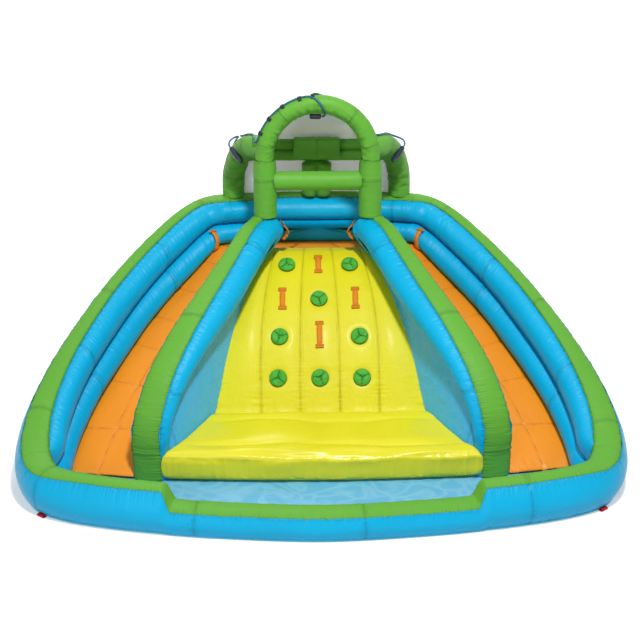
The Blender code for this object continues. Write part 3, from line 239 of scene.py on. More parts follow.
def coated_fabric(name, colour, roughness=0.42, coat=0.0, crumple=0.0016, seam_dust_and_shade=0.74):
    surface, tree, shader = new_surface(name)
    cloth_uv, place = cloth_map(tree), places(tree)
    seam_near = node(tree, "ShaderNodeAttribute", attribute_name="gather").outputs["Fac"]
    body = mottled(tree, place, colour, 1.7, 3.0, 0.90, 1.05)
    # Near seams the colour is darkened: dust and rubbing, and painted shade in the creases.
    tone = blend(tree, combined(tree, "POWER", seam_near, 3.0), body, shaded(colour, seam_dust_and_shade))
    gloss = ranged(tree, clouds(tree, place, 9.0, 5.0), roughness - 0.07, roughness + 0.10)
    drawn = node(tree, "ShaderNodeMapping", (("Scale", (48.0, 5.0, 1.0)), ("Vector", cloth_uv)))
    folds = combined(tree, "MULTIPLY", clouds(tree, drawn.outputs["Vector"], 1.0, 2.0), seam_near)
    normal = None
    for height, distance in ((clouds(tree, place, 5.5, 4.0, 0.6), crumple * 4), (folds, 0.020),
                             (woven(tree, cloth_uv, 0.0024, "MULTIPLY"), 0.0002)):
        normal = bumped(tree, height, distance, 0.9, normal)
    feed(tree, shader, (("Coat Weight", coat), ("Coat Roughness", 0.22), ("Specular IOR Level", 0.22),
                        ("Sheen Weight", 0.005), ("Sheen Roughness", 0.4), ("Base Color", tone),
                        ("Roughness", gloss), ("Normal", normal)))
    return surface


# Each row: key, slot, material, colour, and then roughness, coat, crumple and seam darkening (dust and
# painted shade).
fabric = {}
for key, slot, name, colour, *numbers in (
    ("blue", "blue_fabric", "blue_fabric", (0, 177, 226), 0.34),
    ("green", "green_fabric", "green_fabric", (100, 172, 56)),
    ("orange", "orange_fabric", "orange_fabric", (255, 152, 36), 0.36, 0.1),
    ("yellow", "yellow_fabric", "yellow_fabric", (226, 216, 24), 0.42, 0.05),
    ("shiny", "yellow_fabric", "glossy_yellow_fabric", (236, 226, 40), 0.29, 0.4, 0.0016, 0.90),
    # The panel's blue is lighter than the wall's: a painted reflection of the sky on the glossy vinyl.
    ("gloss", "blue_fabric", "glossy_blue_fabric", (64, 188, 255), 0.26, 0.4, 0.004),
    ("webbing", "webbing", "orange_webbing", (232, 136, 36), 0.62, 0.0, 0.0004, 0.22),
    ("piping", "blue_fabric", "pale_blue_piping", (84, 204, 236), 0.30, 0.3),
    ("red", "loop_webbing", "red_webbing", (204, 24, 36), 0.60, 0.0, 0.0004, 0.55),
    ("hold", "hold_fabric", "hold_fabric", (76, 172, 56), 0.45, 0.0, 0.002, 0.14),
):
    fabric[key] = coated_fabric(name, paint(*colour), *numbers), slot
print("fabrics", sorted(fabric))

# %% [markdown]
# ## Sheets from a grid
# A panel of cloth starts as a flat grid. Each corner of the grid has two shares, `u` along the panel
# and `v` across it, and a rule says where that corner is in the room. Then every corner is pushed
# a little along its normal: that makes the gathers at seams. `remove_doubles` closes a panel that meets
# itself, and `solidify` gives an open one the thickness of cloth.

# %% Panel maker
cloth_thickness = 0.003


def panel(columns, rows, place, flat, push=None, near=None, thickness=cloth_thickness, flip=False):
    """A mesh from a grid: place(u, v) gives each corner, push(u, v) its move along the normal."""
    work = bmesh.new()
    cloth_uv = work.loops.layers.uv.new("cloth")
    bmesh.ops.create_grid(work, x_segments=columns, y_segments=rows, size=0.5, calc_uvs=True)
    for face in work.faces:
        for loop in face.loops:
            spot = loop[cloth_uv].uv
            loop[cloth_uv].uv = (spot.x * flat[0], spot.y * flat[1])
    shares = {}
    gather = work.verts.layers.float.new("gather")
    for vert in work.verts:
        u = round((vert.co.x + 0.5) * columns) / columns
        v = round((vert.co.y + 0.5) * rows) / rows
        shares[vert] = (u, v)
        vert.co = place(u, v)
        vert[gather] = near(u, v) if near else 0.0
    bmesh.ops.remove_doubles(work, verts=work.verts[:], dist=0.00002)
    if flip:
        bmesh.ops.reverse_faces(work, faces=work.faces[:])
    work.normal_update()
    if push:
        moves = [(vert, vert.normal * push(*shares[vert])) for vert in work.verts]
        for vert, move in moves:
            vert.co += move
    if thickness:
        bmesh.ops.solidify(work, geom=work.faces[:], thickness=thickness)
    return work


def faced_out(work):
    bmesh.ops.recalc_face_normals(work, faces=work.faces[:])
    return work


def piece(name, work, material, slot, node_name=None):
    """A finished object. It takes the place of the frame's node of that name."""
    mesh = to_mesh(name, work)
    for face in mesh.polygons:
        face.use_smooth = True
    made = placed(name, mesh)
    mesh.materials.append(material)
    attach(made, "slide")
    if node_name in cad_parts:
        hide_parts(node_name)
    return made


def sewn(name, work, cloth):
    return piece(name + "_cloth", work, *fabric[cloth], name)


def fade(away, reach):
    return math.exp(-away / reach)


def rough(x, y, z):
    return noise.noise(Vector((x, y, z)))


def gathers(along, away, seed, reach=0.05, pitch=0.028, depth=0.0035):
    """Small folds that leave a seam squarely and die away from it. Some are long, most are short."""
    fold = 0.5 - 2.2 * abs(rough(along / pitch, away / 0.16, seed))
    wide = rough(along / (3.1 * pitch), away / 0.3, seed + 7.0)
    return depth * (fold + 0.8 * wide) * fade(away, max(reach * (1 + 1.3 * wide), 0.01))


print("cloth thickness", cloth_thickness)

# %% [markdown]
# ## Measurements of the rim
# The rim is the tall blue wall round the slide with a green band along its top. Seen from above its
# edge is one smooth closed curve, and its height changes on the way. Both come from 17 points of
# the frame, joined by a curve that passes through them. The rest of the rim is counted along this
# curve in real metres, so that gathers have one size all the way round.

# %% The rim's path
def clamp(value):
    return min(max(value, 0.0), 1.0)


def lerp(a, b, share):
    return a + (b - a) * share


def smooth_step(share):
    share = clamp(share)
    return share * share * (3 - 2 * share)


def curve_point(p, q, r, s, t):
    """Between q and r on a smooth curve through four points in a row."""
    square, cube = 2 * p - 5 * q + 4 * r - s, 3 * q - p - 3 * r + s
    return 0.5 * (2 * q + (r - p) * t + square * t * t + cube * t ** 3)


def between(keys, values, key):
    """The value at a key, on the straight lines between the listed ones."""
    k = min(max(bisect.bisect_left(keys, key), 1), len(keys) - 1)
    return lerp(values[k - 1], values[k], (key - keys[k - 1]) / (keys[k] - keys[k - 1]))


middle = 1.9215
half_width = 2.38
rim_depth = 3.50
front_height, rear_height, entrance_height = 0.34, 1.68, 0.205
entrance_half = 1.19
step_run = 0.09
band_width = 0.22
floor_z = 0.0083
rim_points = (
    (0.000, 0.000, 0.000), (0.315, 0.016, 0.000), (0.525, 0.037, 0.000), (0.693, 0.061, 0.000),
    (0.832, 0.091, 0.000), (0.929, 0.131, 0.000), (0.983, 0.194, 0.030), (1.000, 0.271, 0.100),
    (0.983, 0.357, 0.210), (0.937, 0.463, 0.345), (0.861, 0.586, 0.500), (0.773, 0.714, 0.645),
    (0.655, 0.829, 0.810), (0.529, 0.920, 0.950), (0.412, 0.977, 1.000), (0.231, 1.000, 1.000),
    (0.000, 1.000, 1.000),
)
path_end = len(rim_points) - 1
corner_stop, rear_stop = 6.0, 14.3
side_columns = 15
deck_stop = lerp(corner_stop, rear_stop, 1 - 1 / side_columns)


def path_sample(place):
    k = min(int(place), path_end - 1)
    near = []
    for i in (k - 1, k, k + 1, k + 2):
        mirrored = -i if i < 0 else 2 * path_end - i if i > path_end else i
        x, y, rise = rim_points[mirrored]
        near.append((x if mirrored == i else -x, y, rise))
    x, y, rise = (curve_point(*four, place - k) for four in zip(*near))
    return x * half_width, y * rim_depth - middle, clamp(rise)


def folded(place):
    """The same place on the right half of the path, and the side it is on."""
    place = place % (2 * path_end)
    return (place, 1) if place <= path_end else (2 * path_end - place, -1)


def step_up(x):
    """0 at the low entrance and 1 beside it."""
    return smooth_step((x - entrance_half) / step_run + 0.5)


@functools.cache
def rim_at(place):
    """Plan point, unit vector inwards and height of the band at a place on the path."""
    spots = []
    for nudge in (0.0, -0.01, 0.01):
        at, side = folded(place + nudge)
        x, y, rise = path_sample(at)
        spots.append((Vector((side * x, y)), rise, at, x))
    ahead = (spots[2][0] - spots[1][0]).normalized()
    spot, rise, at, x = spots[0]
    top = lerp(front_height, rear_height, rise)
    if at < corner_stop:
        top = lerp(entrance_height, top, step_up(x))
    return spot, Vector((-ahead.y, ahead.x)), top


fine = 40
path_places = [k / fine for k in range(-6 * fine, 26 * fine + 1)]
path_lengths = [0.0]
for a, b in zip(path_places[:-1], path_places[1:]):
    path_lengths.append(path_lengths[-1] + (rim_at(b)[0] - rim_at(a)[0]).length)


def length_at(place):
    return between(path_places, path_lengths, place)


@functools.cache
def place_at(length):
    return between(path_lengths, path_places, length)


sides = {
    "front": (-corner_stop, corner_stop),
    "right": (corner_stop, rear_stop),
    "rear": (rear_stop, 2 * path_end - rear_stop),
    "left": (2 * path_end - rear_stop, 2 * path_end - corner_stop),
}
print("round the rim, in metres:", round(path_lengths[-1], 2))


# %% [markdown]
# ## Rim wall, green band and air ribs
# The wall is a full air chamber: its outer face bulges and rolls in at the foot. Its band is sewn
# along both edges, so it stands up between them like a flat cushion. On the inside two fat tubes lie
# one above the other. Each is a panel whose section is a rule in `v`, and the path carries it round.
# Every metre or so the cloth is joined across, and there a narrow groove with gathers is pressed in.

# %% Gathers and cross seams
column_step = 0.0085
cross_pitch = 1.27
groove_half = 0.008
dark_reach = 0.045


def bell(away, width):
    return math.exp(-((away / width) ** 2))


def cross_seam(along, offset):
    """Distance to the nearest seam across the panel."""
    return abs((along - offset + cross_pitch / 2) % cross_pitch - cross_pitch / 2)


def seamed(columns, rows, place, length, width, edges, seed, depth, offset=0.3, start=0.0, groove=0.005,
           flip=False, flat_width=None):
    """A panel with gathers at its long edges, which are shares across, and at its cross seams."""
    def push(u, v):
        along = start + u * length
        total = sum(gathers(along, abs(v - edge) * width, seed + edge * 9, depth=depth) for edge in edges)
        cross = cross_seam(along, offset)
        total += gathers(v * width, cross, seed + 3.3, reach=0.04, pitch=0.022, depth=depth * 0.8)
        return total - groove * bell(cross, groove_half)

    def near(u, v):
        away = min([abs(v - edge) * width for edge in edges] + [cross_seam(start + u * length, offset)])
        return fade(away, dark_reach)

    return panel(columns, rows, place, (length, flat_width or width), push, near, flip=flip)


# %% Band, wall and ribs
overlap = 0.004
band_tuck, band_crown, band_narrow = 0.020, 0.034, 0.125
wall_tuck, wall_bulge, foot_inset = 0.012, 0.10, 0.04
bulge_full_height = 0.60
upper_rib_bulge, lower_rib_bulge, rib_end = 0.125, 0.150, 0.30
pool_face_bulge = 0.035
inset_low, inset_high, inset_stop, inset_run = 0.015, 0.075, 3.4, 2.4
narrow_run, leg_start, leg_stop, leg_run = 5.0, 13.3, 15.6, 0.8
lane_drop = 0.50
full_drop_stop = 12.5
deck_height = 1.265
both_edges = (0.0, 1.0)


def hump(share, power=1.0):
    """0 at both ends and 1 in the middle. A power below 1 makes it fuller."""
    return math.sin(math.pi * share) ** power


@functools.cache
def rib_foot(place):
    """Height of the lane, or the deck, where it meets the rim wall."""
    at, _ = folded(place)
    if at >= deck_stop:
        return deck_height
    drop_at_deck = rim_at(deck_stop)[2] - deck_height
    drop = lerp(lane_drop, drop_at_deck, smooth_step((at - full_drop_stop) / (deck_stop - full_drop_stop)))
    return max(rim_at(place)[2] - drop, 0.016)


@functools.cache
def band_reach(place):
    """Width of the band. It narrows up the sides and is full again under the tower."""
    at, _ = folded(place)
    under_leg = smooth_step((at - leg_start) / leg_run) * smooth_step((leg_stop - at) / leg_run)
    return lerp(band_width, band_narrow, smooth_step((at - corner_stop) / narrow_run) * (1 - under_leg))


@functools.cache
def band_start(place):
    """How far in the band begins. Its outer seam lies further in round the front corners."""
    at, _ = folded(place)
    inset = lerp(inset_low, inset_high, step_up(path_sample(at)[0]))
    return inset * (1 - smooth_step((at - inset_stop) / inset_run))


def along_rim(start, length, section):
    """A place rule for panel(): section(place, top, v) gives how far in and how high a corner is."""
    def place(u, v):
        at = place_at(start + u * length)
        spot, inner, top = rim_at(at)
        inward, height = section(at, top, v)
        plan = spot + inner * inward
        return plan.x, plan.y, height
    return place


def band_section(at, top, v):
    inward = lerp(band_start(at) - overlap, band_reach(at) + overlap, v)
    return inward, top - band_tuck + band_crown * hump(v, 0.62)


def wall_section(at, top, v):
    high = top - wall_tuck
    scale = min(1.0, high / bulge_full_height)
    inward = scale * (foot_inset * (1 - v) ** 2 - wall_bulge * hump(v, 0.85))
    inward += band_start(at) * v ** 2
    return inward, lerp(floor_z, high, v)


def rib_section(at, top, v):
    """Two half tubes, one above the other, from the band (v is 0) down to the lane."""
    turn = 2 * v % 1.0 if v < 1.0 else 1.0
    level = min((0.0 if v < 0.5 else 0.5) + (1 - math.cos(math.pi * turn)) / 4, 1.0)
    end = min(length_at(folded(at)[0]) - length_at(corner_stop), rib_end) / rib_end
    bulge = upper_rib_bulge if v < 0.5 else lower_rib_bulge
    swell = bulge * math.sqrt(smooth_step(end * 0.9 + 0.1))
    base = lerp(band_reach(at), band_width, level) - overlap
    return base + swell * hump(turn, 0.85), lerp(top - band_tuck, rib_foot(at), level)


def pool_face_section(at, top, v):
    return band_width - overlap + pool_face_bulge * hump(v, 0.8), lerp(top - band_tuck, floor_z, v)


for side, (first, last) in sides.items():
    start = length_at(first)
    length = length_at(last) - start
    tall = (rim_at(first)[2] + rim_at(last)[2]) / 2
    columns = round(length / column_step)
    inner = ("rim_ribs_" + side, "blue", 32, rib_section, 0.55, (0.0, 0.5, 1.0), 4.0, 0.0045, 0.9)
    if side == "front":
        inner = ("pool_face_front", "blue", 8, pool_face_section, 0.55, both_edges, 4.0, 0.0045, 0.9)
    for name, cloth, rows, section, width, edges, seed, depth, offset in (
        ("rim_band_" + side, "green", 10, band_section, band_width, both_edges, 1.0, 0.004, 0.3),
        ("rim_wall_" + side, "blue", 22, wall_section, tall, both_edges, 2.0, 0.006, 0.3),
        inner,
    ):
        work = seamed(columns, rows, along_rim(start, length, section), length, width, edges, seed, depth,
                      offset, start)
        sewn(name, work, cloth)
    print(side, "columns", columns, "length", round(length, 2))


# %% [markdown]
# ## Pool floor
# The base is one flat sheet that lies on the ground. It is drawn from its edge to the middle in
# rings, which leaves a pole in the centre to close. A pale ripple print, the plain kind that pool liners
# have, is painted by a noise pattern, and the sheet waves a little, because water hasn't pressed it flat.

# %% Base sheet
def ripple_liner(name, colour, ripple):
    surface = coated_fabric(name, colour, 0.20, 0.4, 0.004)
    tree = surface.node_tree
    shader = tree.nodes["Principled BSDF"]
    place = places(tree)
    drift = node(tree, "ShaderNodeTexNoise", (("Scale", 2.6), ("Detail", 1.0), ("Vector", place)))
    bent = node(tree, "ShaderNodeVectorMath", ((0, place), (1, drift.outputs["Color"])), operation="ADD")
    cells = node(tree, "ShaderNodeTexVoronoi", (("Scale", 4.2), ("Vector", bent.outputs[0])),
                 feature="DISTANCE_TO_EDGE")
    line = ranged(tree, cells.outputs["Distance"], 0.50, 0.0, 0.0, 0.22)
    under = shader.inputs["Base Color"].links[0].from_socket
    feed(tree, shader, (("Base Color", blend(tree, line, under, shaded(ripple, 1.0))),))
    return surface


fabric["liner"] = ripple_liner("pool_liner", paint(104, 188, 236), paint(148, 208, 240)), "base_fabric"


@functools.cache
def foot_edge(place):
    """Edge of the base sheet, under the foot of the wall."""
    spot, inner, top = rim_at(place)
    inward, _ = wall_section(place, top, 0.0)
    return spot + inner * inward


pool_centre = Vector((0.0, -0.55))


def round_place(u):
    """Place on the path at a share of the way round it."""
    return -6 + 2 * path_end * (u % 1.0)


def base_place(u, v):
    spot = foot_edge(round_place(u)).lerp(pool_centre, 1 - (1 - v) ** 1.6)
    wave = 0.006 * rough(spot.x * 3.0, spot.y * 3.0, 2.0) * smooth_step(v * 4)
    return spot.x, spot.y, 0.0075 + max(wave, 0.0) * (1 - v)


base_work = panel(320, 60, base_place, (1.0, 1.0), thickness=0.0)
cloth_uv = base_work.loops.layers.uv["cloth"]
for face in base_work.faces:
    for loop in face.loops:
        loop[cloth_uv].uv = loop.vert.co.xy
faced_out(base_work)
if base_work.faces[:][0].normal.z < 0:
    bmesh.ops.reverse_faces(base_work, faces=base_work.faces[:])
base_area = sum(face.calc_area() for face in base_work.faces)
bmesh.ops.solidify(base_work, geom=base_work.faces[:], thickness=0.004)
base_sheet = sewn("base_sheet", base_work, "liner")
print("base sheet", round(base_area, 2), "square metres")


# %% [markdown]
# ## Divider walls
# Two walls part the lanes from the climbing wall. Each has a green band that starts at the deck, runs
# along the top and drops down the nose in one bend, a fat blue tube under it on the climbing side, and
# a smooth glossy panel below that tube, whose blue is painted lighter than the tube's as a painted reflection
# of the sky. A panel follows the band's own route from point to point, so the route is first rounded by
# walking along it in even steps.

# %% Divider routes
divider_rear = {True: Vector((0.51, 2.80 - middle)), False: Vector((0.42, 2.757 - middle))}
divider_nose = {True: Vector((1.53, 0.95 - middle)), False: Vector((1.30, 0.90 - middle))}
divider_tops = (
    (0.000, 1.000), (0.128, 1.000), (0.214, 0.952), (0.320, 0.885), (0.428, 0.818), (0.615, 0.709),
    (0.722, 0.636), (0.829, 0.545), (0.898, 0.467), (0.952, 0.376), (0.984, 0.303), (1.000, 0.242),
)
panel_lean = 0.12
nose_turn = 14
divider_crown, divider_band_sink, divider_band_lap = 0.028, 0.014, 0.003


def divider_line(side, share, lane):
    """Plan point on the lane face or the climbing face, from the rear (0) to the nose (1)."""
    spot = divider_rear[lane].lerp(divider_nose[lane], share)
    return Vector((side * spot.x, spot.y))


def divider_away(side, share):
    return (divider_line(side, share, False) - divider_line(side, share, True)).normalized()


def averaged(table, scale, share, shifts):
    """Scale times the mean of a table's values a few hundredths before and after a share."""
    near = [between(*zip(*table), clamp(share + shift / 100)) for shift in shifts]
    return scale * sum(near) / len(near)


@functools.cache
def divider_top(share):
    return averaged(divider_tops, rear_height, share, (-3, -2, -1, 0, 1, 2, 3))


def panel_inset(share, height):
    """How far the glossy panel has come in from the climbing face at a height. It slopes in to its foot."""
    return panel_lean * smooth_step(share * 1.6) * max(0.0, 1 - height / max(divider_top(share) - 0.2, 0.1))


def even_route(points, step):
    """Points a step apart on the smooth curve through the given points."""
    last = len(points) - 1
    dense = []
    for k in range(last):
        four = [Vector(points[min(max(k + i, 0), last)]) for i in (-1, 0, 1, 2)]
        dense += [curve_point(*four, i / 20) for i in range(20)]
    dense.append(Vector(points[-1]))
    runs = [0.0]
    for a, b in zip(dense[:-1], dense[1:]):
        runs.append(runs[-1] + (b - a).length)
    count = max(2, round(runs[-1] / step))
    route = []
    for i in range(count + 1):
        goal = runs[-1] * i / count
        k = min(max(bisect.bisect_left(runs, goal), 1), len(runs) - 1)
        gap = runs[k] - runs[k - 1] or 1.0
        route.append(dense[k - 1].lerp(dense[k], clamp((goal - runs[k - 1]) / gap)))
    return route, runs[-1]


divider_length = (divider_line(1, 1.0, True) - divider_line(1, 0.0, True)).length
top_shares = (0.08, 0.16, 0.24, 0.34, 0.45, 0.56, 0.67, 0.76, 0.84, 0.90, 0.95, 0.98)
band_corners = [(0.0, deck_height + 0.01), (0.0, deck_height + 0.2), (0.0, rear_height - 0.08)]
band_corners += [(0.03, rear_height - 0.01)]
band_corners += [(share * divider_length, divider_top(share)) for share in top_shares]
band_corners += [(divider_length, height) for height in (0.36, 0.28, 0.19, 0.10, 0.012)]
band_route, band_length = even_route(band_corners, 0.010)
print("divider band", round(band_length, 2), "metres, corners", len(band_route))


# %% Divider pieces
divider_band_wide, divider_face_tall = 0.2, 1.2
lane_face_bulge, climb_face_bulge = 0.030, 0.010
rib_cloth_wide, rib_seam_wide = 0.45, 0.40
rib_top_height, rib_nose_height = 0.23, 0.085
rib_top_bulge, rib_nose_bulge = 0.150, 0.055
rib_first = min(k for k, spot in enumerate(band_route) if spot.x > 0.012)
rib_last = max(k for k, spot in enumerate(band_route) if spot.y > 0.20)
hands = ((1, "right"), (-1, "left"))


def divider_band(side):
    last = len(band_route) - 1

    def place(u, v):
        k = round(u * last)
        spot = band_route[k]
        ahead = (band_route[min(k + 1, last)] - band_route[max(k - 1, 0)]).normalized()
        lift = divider_crown * hump(v, 0.62) - divider_band_sink
        s, z = spot.x - ahead.y * lift, spot.y + ahead.x * lift
        share = s / divider_length
        lane, climb = divider_line(side, share, True), divider_line(side, share, False)
        lap = divider_band_lap / (climb - lane).length
        plan = lane.lerp(climb, lerp(-lap, 1 + lap, v))
        return plan.x, plan.y, max(z, floor_z)

    return seamed(last, 12, place, band_length, divider_band_wide, both_edges, 11.0 + side, 0.0045, 0.55,
                  flip=side < 0)


def divider_face(side, lane):
    """Lane face: a soft blue pillow. Climbing face: the glossy panel below the tube, painted a lighter blue
    as a painted reflection.
    """
    def place(u, v):
        share = lerp(0.0, 0.995, u)
        way = divider_away(side, share) * (-1 if lane else 1)
        height = lerp(floor_z, divider_top(share) - wall_tuck, v)
        bulge = (lane_face_bulge if lane else climb_face_bulge) * hump(v, 0.7) * min(1.0, (1 - u) * 12)
        if not lane:
            bulge += panel_inset(share, height) * smooth_step((1 - u) * nose_turn)
        spot = divider_line(side, share, lane) + way * bulge
        return spot.x, spot.y, height

    return seamed(240, 28, place, divider_length, divider_face_tall, both_edges, 21.0 + side, 0.003, 0.7,
                  groove=0.002, flip=(side > 0) == lane)


def divider_rib(side):
    """The tube keeps close under the band, also where the band turns down the nose."""
    count = rib_last - rib_first

    def place(u, v):
        k = rib_first + round(u * count)
        ahead = (band_route[k + 1] - band_route[k - 1]).normalized()
        under = Vector((ahead.y, -ahead.x))
        slim = smooth_step((u - 0.35) / 0.65)
        reach = 0.008 + lerp(rib_top_height, rib_nose_height, slim) * (1 - math.cos(math.pi * v)) / 2
        spot = band_route[k] + under * reach
        share = min(spot.x / divider_length, 0.998)
        end = math.sqrt(min(1.0, (1 - u) * nose_turn + 0.01))
        bulge = lerp(rib_top_bulge, rib_nose_bulge, slim) * hump(v, 0.8) * end
        bulge += panel_inset(share, spot.y) * v * smooth_step((1 - share) * nose_turn)
        plan = divider_line(side, share, False) + divider_away(side, share) * bulge
        return plan.x, plan.y, max(spot.y, floor_z)

    return seamed(count, 22, place, divider_length, rib_seam_wide, both_edges, 31.0 + side, 0.006, 0.4,
                  flip=side > 0, flat_width=rib_cloth_wide)


for side, word in hands:
    sewn("divider_band_" + word, divider_band(side), "green")
    sewn("divider_wall_" + word, divider_face(side, True), "blue")
    sewn("divider_panel_" + word, divider_face(side, False), "gloss")
    sewn("divider_rib_" + word, divider_rib(side), "blue")
print("divider length", round(divider_length, 2))


# %% [markdown]
# ## Lanes and deck
# A lane is one orange sheet held down by seams across it, so it rises between them in low pillows.
# Near its foot it is wide, and a long crease runs down it. The deck joins both lanes at the top.

# %% Lanes
lane_seam_shares = (0.0, 0.11, 0.24, 0.37, 0.49, 0.63, 0.80, 1.0)
lane_foot_stop = 7.45
lane_puff, lane_sink = 0.026, 0.006
crease_depth, crease_half = 0.010, 0.014
lane_length, lane_width = 2.9, 0.8


def lane_edges(side, along):
    at = lerp(deck_stop, lane_foot_stop, along)
    spot, inner, _ = rim_at(at)
    outer = spot + inner * (band_width + 0.006)
    return Vector((side * outer.x, outer.y)), divider_line(side, along, True), rib_foot(at)


def lane_cell(u, v):
    """Share of the way between two cross seams, and metres to the nearer one. The seams run a bit askew."""
    slant = clamp(u + 0.022 * (v - 0.5) * math.sin(9 * u))
    k = min(bisect.bisect_right(lane_seam_shares, slant), len(lane_seam_shares) - 1)
    a, b = lane_seam_shares[k - 1], lane_seam_shares[k]
    return (slant - a) / (b - a), min(slant - a, b - slant) * lane_length


def lane_crease(u, v):
    """Metres to the long crease that runs down the lower half of the lane."""
    return abs(v - 0.56 + 0.10 * math.sin(3.0 * u)) * lane_width


def lane(side):
    def place(u, v):
        outer, near, height = lane_edges(side, u)
        spot = outer.lerp(near, lerp(-0.02, 1.0, v))
        puff = lane_puff * hump(clamp(lane_cell(u, v)[0]), 0.42)
        crown = (hump(clamp(v)) + 0.02) ** 0.5
        crease = crease_depth * bell(lane_crease(u, v), crease_half) * smooth_step((u - 0.42) * 5)
        return spot.x, spot.y, height + puff * crown - crease - lane_sink

    def push(u, v):
        across = lane_cell(u, v)[1]
        total = gathers(v * lane_width, across, 41.0 + side, reach=0.045, pitch=0.035, depth=0.006)
        total += gathers(u * lane_length, min(v, 1 - v) * lane_width, 43.0 + side, pitch=0.03, depth=0.006)
        return total + 0.004 * rough(u * 9, v * 4, side)

    def near(u, v):
        crease = lane_crease(u, v) if u > 0.5 else 1.0
        return fade(min(lane_cell(u, v)[1], crease, min(v, 1 - v) * lane_width), 0.014)

    return panel(324, 56, place, (lane_length, lane_width), push, near, flip=side > 0)


for side, word in hands:
    sewn("lane_" + word, lane(side), "orange")
print("lane", lane_length, "by", lane_width, "metres")

# %% Deck
deck_half = divider_line(1, 0.0, True).x
deck_front_y = 2.80 - middle + 0.007
deck_crown = 0.014


def deck_place(u, v):
    spot, inner, _ = rim_at(lerp(deck_stop, 2 * path_end - deck_stop, u))
    far = spot + inner * (band_width + overlap)
    near = Vector((lerp(deck_half, -deck_half, u), deck_front_y))
    plan = near.lerp(far, v)
    return plan.x, plan.y, deck_height + deck_crown * hump(u, 0.5) * hump(v, 0.5)


deck_work = panel(160, 40, deck_place, (1.6, 0.6),
                  lambda u, v: 0.004 * rough(u * 12, v * 4, 5.0),
                  lambda u, v: math.exp(-min(u, 1 - u, v, 1 - v) * 18))
sewn("deck", deck_work, "orange")
print("deck front", round(deck_front_y, 3))


# %% [markdown]
# ## Climbing wall
# The climbing wall is one steep yellow sheet with a second one behind it, sewn together along five
# upright channels. Air pushes each channel out, and the seams stay back as sharp valleys. The gathers
# are deepest at the foot, where the cloth is widest. The holds press shallow hollows into it.

# %% Climbing wall
climb_foot_y = 1.55 - middle
climb_crown = 0.025
climb_run = deck_front_y - 0.0003 - climb_foot_y
climb_profile = (
    (0.000, 0.230), (0.080, 0.345), (0.155, 0.450), (0.250, 0.575), (0.350, 0.690), (0.465, 0.800),
    (0.580, 0.895), (0.700, 0.982), (0.814, 1.055), (0.900, 1.090), (1.000, 1.080),
)
seam_tops = (-0.86, -0.28, 0.28, 0.86)
seam_feet = (-0.55, -0.185, 0.185, 0.55)
hold_places = ((-1, 0.764), (1, 0.764), (0, 0.533), (-1, 0.327), (1, 0.327), (-1, 0.146), (0, 0.146),
               (1, 0.146))
channels, channel_steps, channel_wide = 5, 22, 0.3
skirt_share, skirt_drop = 0.06, 0.18
climb_puff = 0.024
hollow_depth, hollow_half = 0.010, 0.085


@functools.cache
def climb_height(share):
    return averaged(climb_profile, deck_height, share, (-3, -1.5, 0, 1.5, 3))


@functools.cache
def climb_normal(share):
    low, high = max(share - 0.02, 0.0), min(share + 0.02, 1.0)
    return Vector((0, climb_height(low) - climb_height(high), climb_run * (high - low))).normalized()


def climb_halves(y):
    """Half width of the climbing wall up to the dividers' faces, and the share of the way to their nose."""
    rear, nose = divider_rear[False], divider_nose[False]
    share = clamp((rear.y - y) / (rear.y - nose.y))
    return lerp(rear.x, nose.x, share), share


def climb_reach(y, height):
    """Half width between the glossy panels at a height."""
    half, share = climb_halves(y)
    return half - panel_inset(share, height) * smooth_step((1 - share) * nose_turn)


def climb_lines(share):
    """The seams between the channels, as shares of the half width."""
    return [-1.0] + [lerp(a, b, share) for a, b in zip(seam_feet, seam_tops)] + [1.0]


def climb_crest(channel, share):
    """Middle of a channel and the direction straight out of it."""
    lines = climb_lines(share)
    y = climb_foot_y + climb_run * share
    x = climb_halves(y)[0] * (lines[channel + 2] + lines[channel + 3]) / 2
    normal = climb_normal(share)
    return Vector((x, y, climb_height(share) - climb_crown)) + normal * climb_crown, normal


def climb_place(u, v):
    """The sheet goes up from a short skirt that hangs behind the pad."""
    share = max(0.0, (v - skirt_share) / (1 - skirt_share))
    lines = climb_lines(share)
    k = min(int(u * channels), channels - 1)
    turn = u * channels - k
    y = climb_foot_y + climb_run * share
    half = climb_reach(y, climb_height(share)) + overlap
    puff = climb_puff * hump(turn, 0.50) if 0 < turn < 1 else 0.0
    puff *= 1 - 0.9 * smooth_step((v - 0.76) / 0.14)
    spot = Vector((half * lerp(lines[k], lines[k + 1], turn), y, climb_height(share) - climb_crown))
    drop = 1 - min(v / skirt_share, 1.0)
    return spot + climb_normal(share) * puff * (1 - 0.6 * drop) - Vector((0.0, 0.0, skirt_drop)) * drop


def channel_seam(u):
    """Metres to the nearest seam between channels, and its number."""
    k = round(u * channels)
    return abs(u * channels - k) * channel_wide, k


def climb_push(u, v):
    away, k = channel_seam(u)
    deep = 0.013 * bell(v - skirt_share, 0.16) + 0.0015
    total = gathers(v * climb_run * 1.35, away, 61.0 + k, reach=0.026, pitch=0.024, depth=deep)
    total += gathers(u * 2.0, max(v - skirt_share, 0.0) * climb_run, 67.0, pitch=0.03, depth=0.005)
    total += gathers(u * 1.2, (1 - v) * climb_run, 69.0, reach=0.07, pitch=0.03, depth=0.004)
    return total + 0.004 * rough(u * 10, v * 3, 9.0)


climb_work = panel(channels * channel_steps, 240, climb_place, (2.2, 1.8), climb_push,
                   lambda u, v: fade(min(channel_seam(u)[0], v, 1 - v), 0.020))
crests = [climb_crest(channel, share) for channel, share in hold_places]
for vert in climb_work.verts:
    for spot, normal in crests:
        away = (vert.co - spot).length
        if away < 0.2:
            vert.co -= normal * hollow_depth * math.exp(-((away / hollow_half) ** 4))
sewn("climb_wall", climb_work, "yellow")
print("climbing wall", round(climb_run, 2), "metres deep, holds", len(crests))


